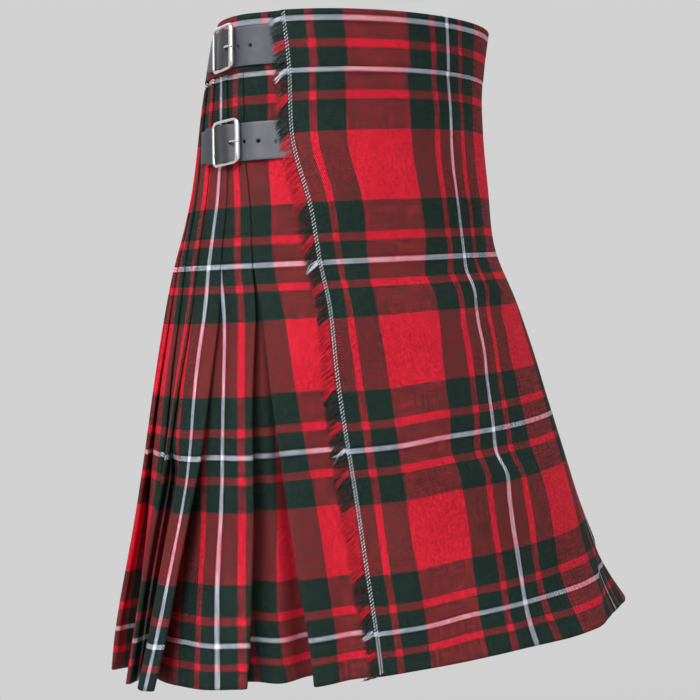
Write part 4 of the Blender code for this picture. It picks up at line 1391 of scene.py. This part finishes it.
class KILT_OT_fringe(bpy.types.Operator):
    """Loose yarn ends along the over apron's open edge"""

    bl_idname = "kilt.fringe"
    bl_label = "Fringe"

    def execute(self, context):
        size = sizes()
        count = size.fringe_yarns
        # Each yarn runs straight back from its root, with a curl that is a sine of its length.
        # Its reach and droop vary with its clump and by chance, and its tip sinks towards the
        # lower end of its lock, but never below the hem.
        chance = np.random.default_rng(11)
        below = np.sort(chance.uniform(1 * MM, LENGTH - 1 * MM, count))
        clump = np.sin(below * 900) * np.sin(below * 377 + 1) + 0.4 * np.sin(below * 2100)
        along = smooth(FRINGE_REACH, below / MM)
        reach = size.fringe_reach * along * (0.8 + 0.1 * clump + chance.uniform(-0.16, 0.12, count))
        droop = size.fringe_droop * (1 + 0.3 * clump + chance.uniform(-0.3, 0.3, count))
        droop = droop * (0.35 + 0.65 * ease(below, 0, STIFF_FRINGE_TO))
        lock = (np.floor(below / FRINGE_LOCK) + 0.8) * FRINGE_LOCK - below
        step = np.linspace(0, 1, 7)
        behind = -FRINGE_ROOT + (reach[:, None] + FRINGE_ROOT) * step
        check = below_in_check(below, below >= BAND_BOTTOM)
        in_white = np.abs((check + 0.5 * size.sett) % size.sett - 0.5 * size.sett)
        wild = 1 + 2.0 * (in_white < WILD_NEAR_WHITE)
        curl = chance.uniform(-1, 1, (count, 1)) * MM * np.sin(step * 5 + clump[:, None])
        curl = curl * wild[:, None]
        out = chance.uniform(-0.5, 0.9, (count, 1)) * MM * step - 1.0 * MM * step ** 2 + 0.5 * curl
        points = at_distance(below, behind, out)
        fall = droop[:, None] * step ** 1.3 + curl * step + 0.55 * lock[:, None] * step
        points[..., 2] -= np.minimum(fall, np.maximum(LENGTH - below, 0.5 * MM)[:, None])
        radii = np.linspace(0.30, 0.16, 7) * MM * chance.uniform(0.8, 1.2, (count, 1))
        made = strands("fringe_yarns", points, radii, check, 3, "loose_yarn")
        carry(made, "fringe", "apron_fringe")
        return {"FINISHED"}


class KILT_OT_edge_stitching(bpy.types.Operator):
    """White binding stitches, in two columns, that hold the fringe's root"""

    bl_idname = "kilt.edge_stitching"
    bl_label = "Edge stitching"

    def execute(self, context):
        # Each stitch is a short arch over the cloth, slanting down, thickest at its middle.
        chance = np.random.default_rng(5)
        below = np.arange(2 * MM, LENGTH - 2 * MM, STITCH_PITCH / 2)
        below = below + chance.uniform(-0.25, 0.25, len(below)) * MM
        in_first = np.arange(len(below)) % 2
        first, second = STITCH_COLUMNS
        step = np.linspace(-0.5, 0.5, 5)
        cloth = np.where(below < BAND_BOTTOM + 1 * MM, sizes().band, sizes().cloth)[:, None]
        out = 0.5 * cloth + 0.25 * MM + 0.25 * MM * (1 - (2 * step) ** 2)
        behind = np.where(in_first, first, second)[:, None] + STITCH_ACROSS * step
        points = at_distance(below, behind, out)
        points[..., 2] -= STITCH_DROP * step
        radii = MM * np.sqrt(1.05 - (2 * step) ** 2) * chance.uniform(0.28, 0.4, (len(below), 1))
        made = strands("edge_stitches", points, radii, below, 5, "white_thread")
        carry(made, "fringe")
        return {"FINISHED"}


class KILT_OT_straps(bpy.types.Operator):
    """Leather straps with punched holes, the tabs, the buckles and their tongues"""

    bl_idname = "kilt.straps"
    bl_label = "Straps and buckles"

    def execute(self, context):
        for strap in map(Strap, STRAPS):
            strap.make_leather()
            strap.make_tab()
            strap.make_buckle()
            strap.make_tongue()
        return {"FINISHED"}


class KILT_OT_stage(bpy.types.Operator):
    """Floor, soft lights, backdrop and camera"""

    bl_idname = "kilt.stage"
    bl_label = "Stage"

    def execute(self, context):
        stage = context.scene.kilt_stage
        add_floor(stage)
        add_world(stage)
        for name, place, size in LAMPS:
            add_light(name, place, size, getattr(stage, name))
        add_camera()
        context.scene.view_settings.view_transform = "Standard"
        return {"FINISHED"}


def add_floor(stage):
    """A wide pale disc under the hem, fading out far from the kilt."""
    bpy.ops.mesh.primitive_circle_add(vertices=96, radius=8, fill_type="NGON")
    floor = bpy.context.object
    floor.name = "pale_floor"
    low = CAD_BOX[0][2] - stage.floor_gap
    floor.data.transform(Matrix.Translation((0, 0, low)))
    made, nodes, shader, place = new_material("pale_floor", 0.9)
    far = nodes.add("VectorMath", {0: place}, operation="LENGTH").outputs["Value"]
    nodes.feed(shader, {"Alpha": nodes.spread(far, *FLOOR_FADES, 1.0, 0.0),
                        "Base Color": (*stage.backdrop, 1)})
    floor.data.materials.append(made)


def add_world(stage):
    """Even pale light from all round."""
    world = bpy.data.worlds.new("pale_room")
    world.use_nodes = True
    shade = world.node_tree.nodes["Background"].inputs
    shade["Color"].default_value = (*stage.backdrop, 1)
    shade["Strength"].default_value = 1.0
    bpy.context.scene.world = world


def add_light(name, place, size, power):
    """A round lamp, turned to the kilt."""
    lamp = bpy.data.lights.new(name, "AREA")
    lamp.shape = "DISK"
    lamp.size = size
    lamp.energy = power
    light = placed(name, lamp)
    light.location = place
    aim = Vector(LAMPS_AIM) - light.location
    light.rotation_euler = aim.to_track_quat("-Z", "Y").to_euler()


def add_camera():
    """The camera at its place, turned about the upright, tipped down and rolled."""
    lens = bpy.data.cameras.new("camera")
    lens.lens = CAMERA_LENS
    lens.sensor_width = 36
    camera = placed("camera", lens)
    upright = Matrix.Rotation(-CAMERA_TURN, 4, "Z") @ Matrix.Rotation(pi / 2 - CAMERA_DOWN, 4, "X")
    camera.matrix_world = (Matrix.Translation(CAMERA_PLACE) @ upright
                           @ Matrix.Rotation(CAMERA_ROLL, 4, "Z"))
    bpy.context.scene.camera = camera


class KILT_PT_panel(bpy.types.Panel):
    """Lists the kilt's pieces"""

    bl_idname = "KILT_PT_panel"
    bl_label = "Kilt"
    bl_space_type = "VIEW_3D"
    bl_region_type = "UI"
    bl_category = "Kilt"

    def draw(self, context):
        for operator in OPERATORS:
            self.layout.operator(operator.bl_idname)
        for holder in GROUPS:
            group = getattr(context.scene, holder)
            for name in group.__annotations__:
                self.layout.prop(group, name)


OPERATORS = (KILT_OT_waistband, KILT_OT_aprons, KILT_OT_pleats, KILT_OT_fringe,
             KILT_OT_edge_stitching, KILT_OT_straps, KILT_OT_stage)
GROUPS = {"kilt_sizes": KiltSizes, "kilt_colours": KiltColours, "kilt_stage": KiltStage}
CLASSES = (*GROUPS.values(), *OPERATORS, KILT_PT_panel)


def register():
    for each in CLASSES:
        bpy.utils.register_class(each)
    for holder, group in GROUPS.items():
        setattr(bpy.types.Scene, holder, PointerProperty(type=group))


def unregister():
    for holder in GROUPS:
        delattr(bpy.types.Scene, holder)
    for each in reversed(CLASSES):
        bpy.utils.unregister_class(each)


def main():
    """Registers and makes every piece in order."""
    register()
    bpy.ops.kilt.waistband()
    bpy.ops.kilt.aprons()
    bpy.ops.kilt.pleats()
    bpy.ops.kilt.fringe()
    bpy.ops.kilt.edge_stitching()
    bpy.ops.kilt.straps()
    bpy.ops.kilt.stage()


if __name__ == "__main__":
    main()
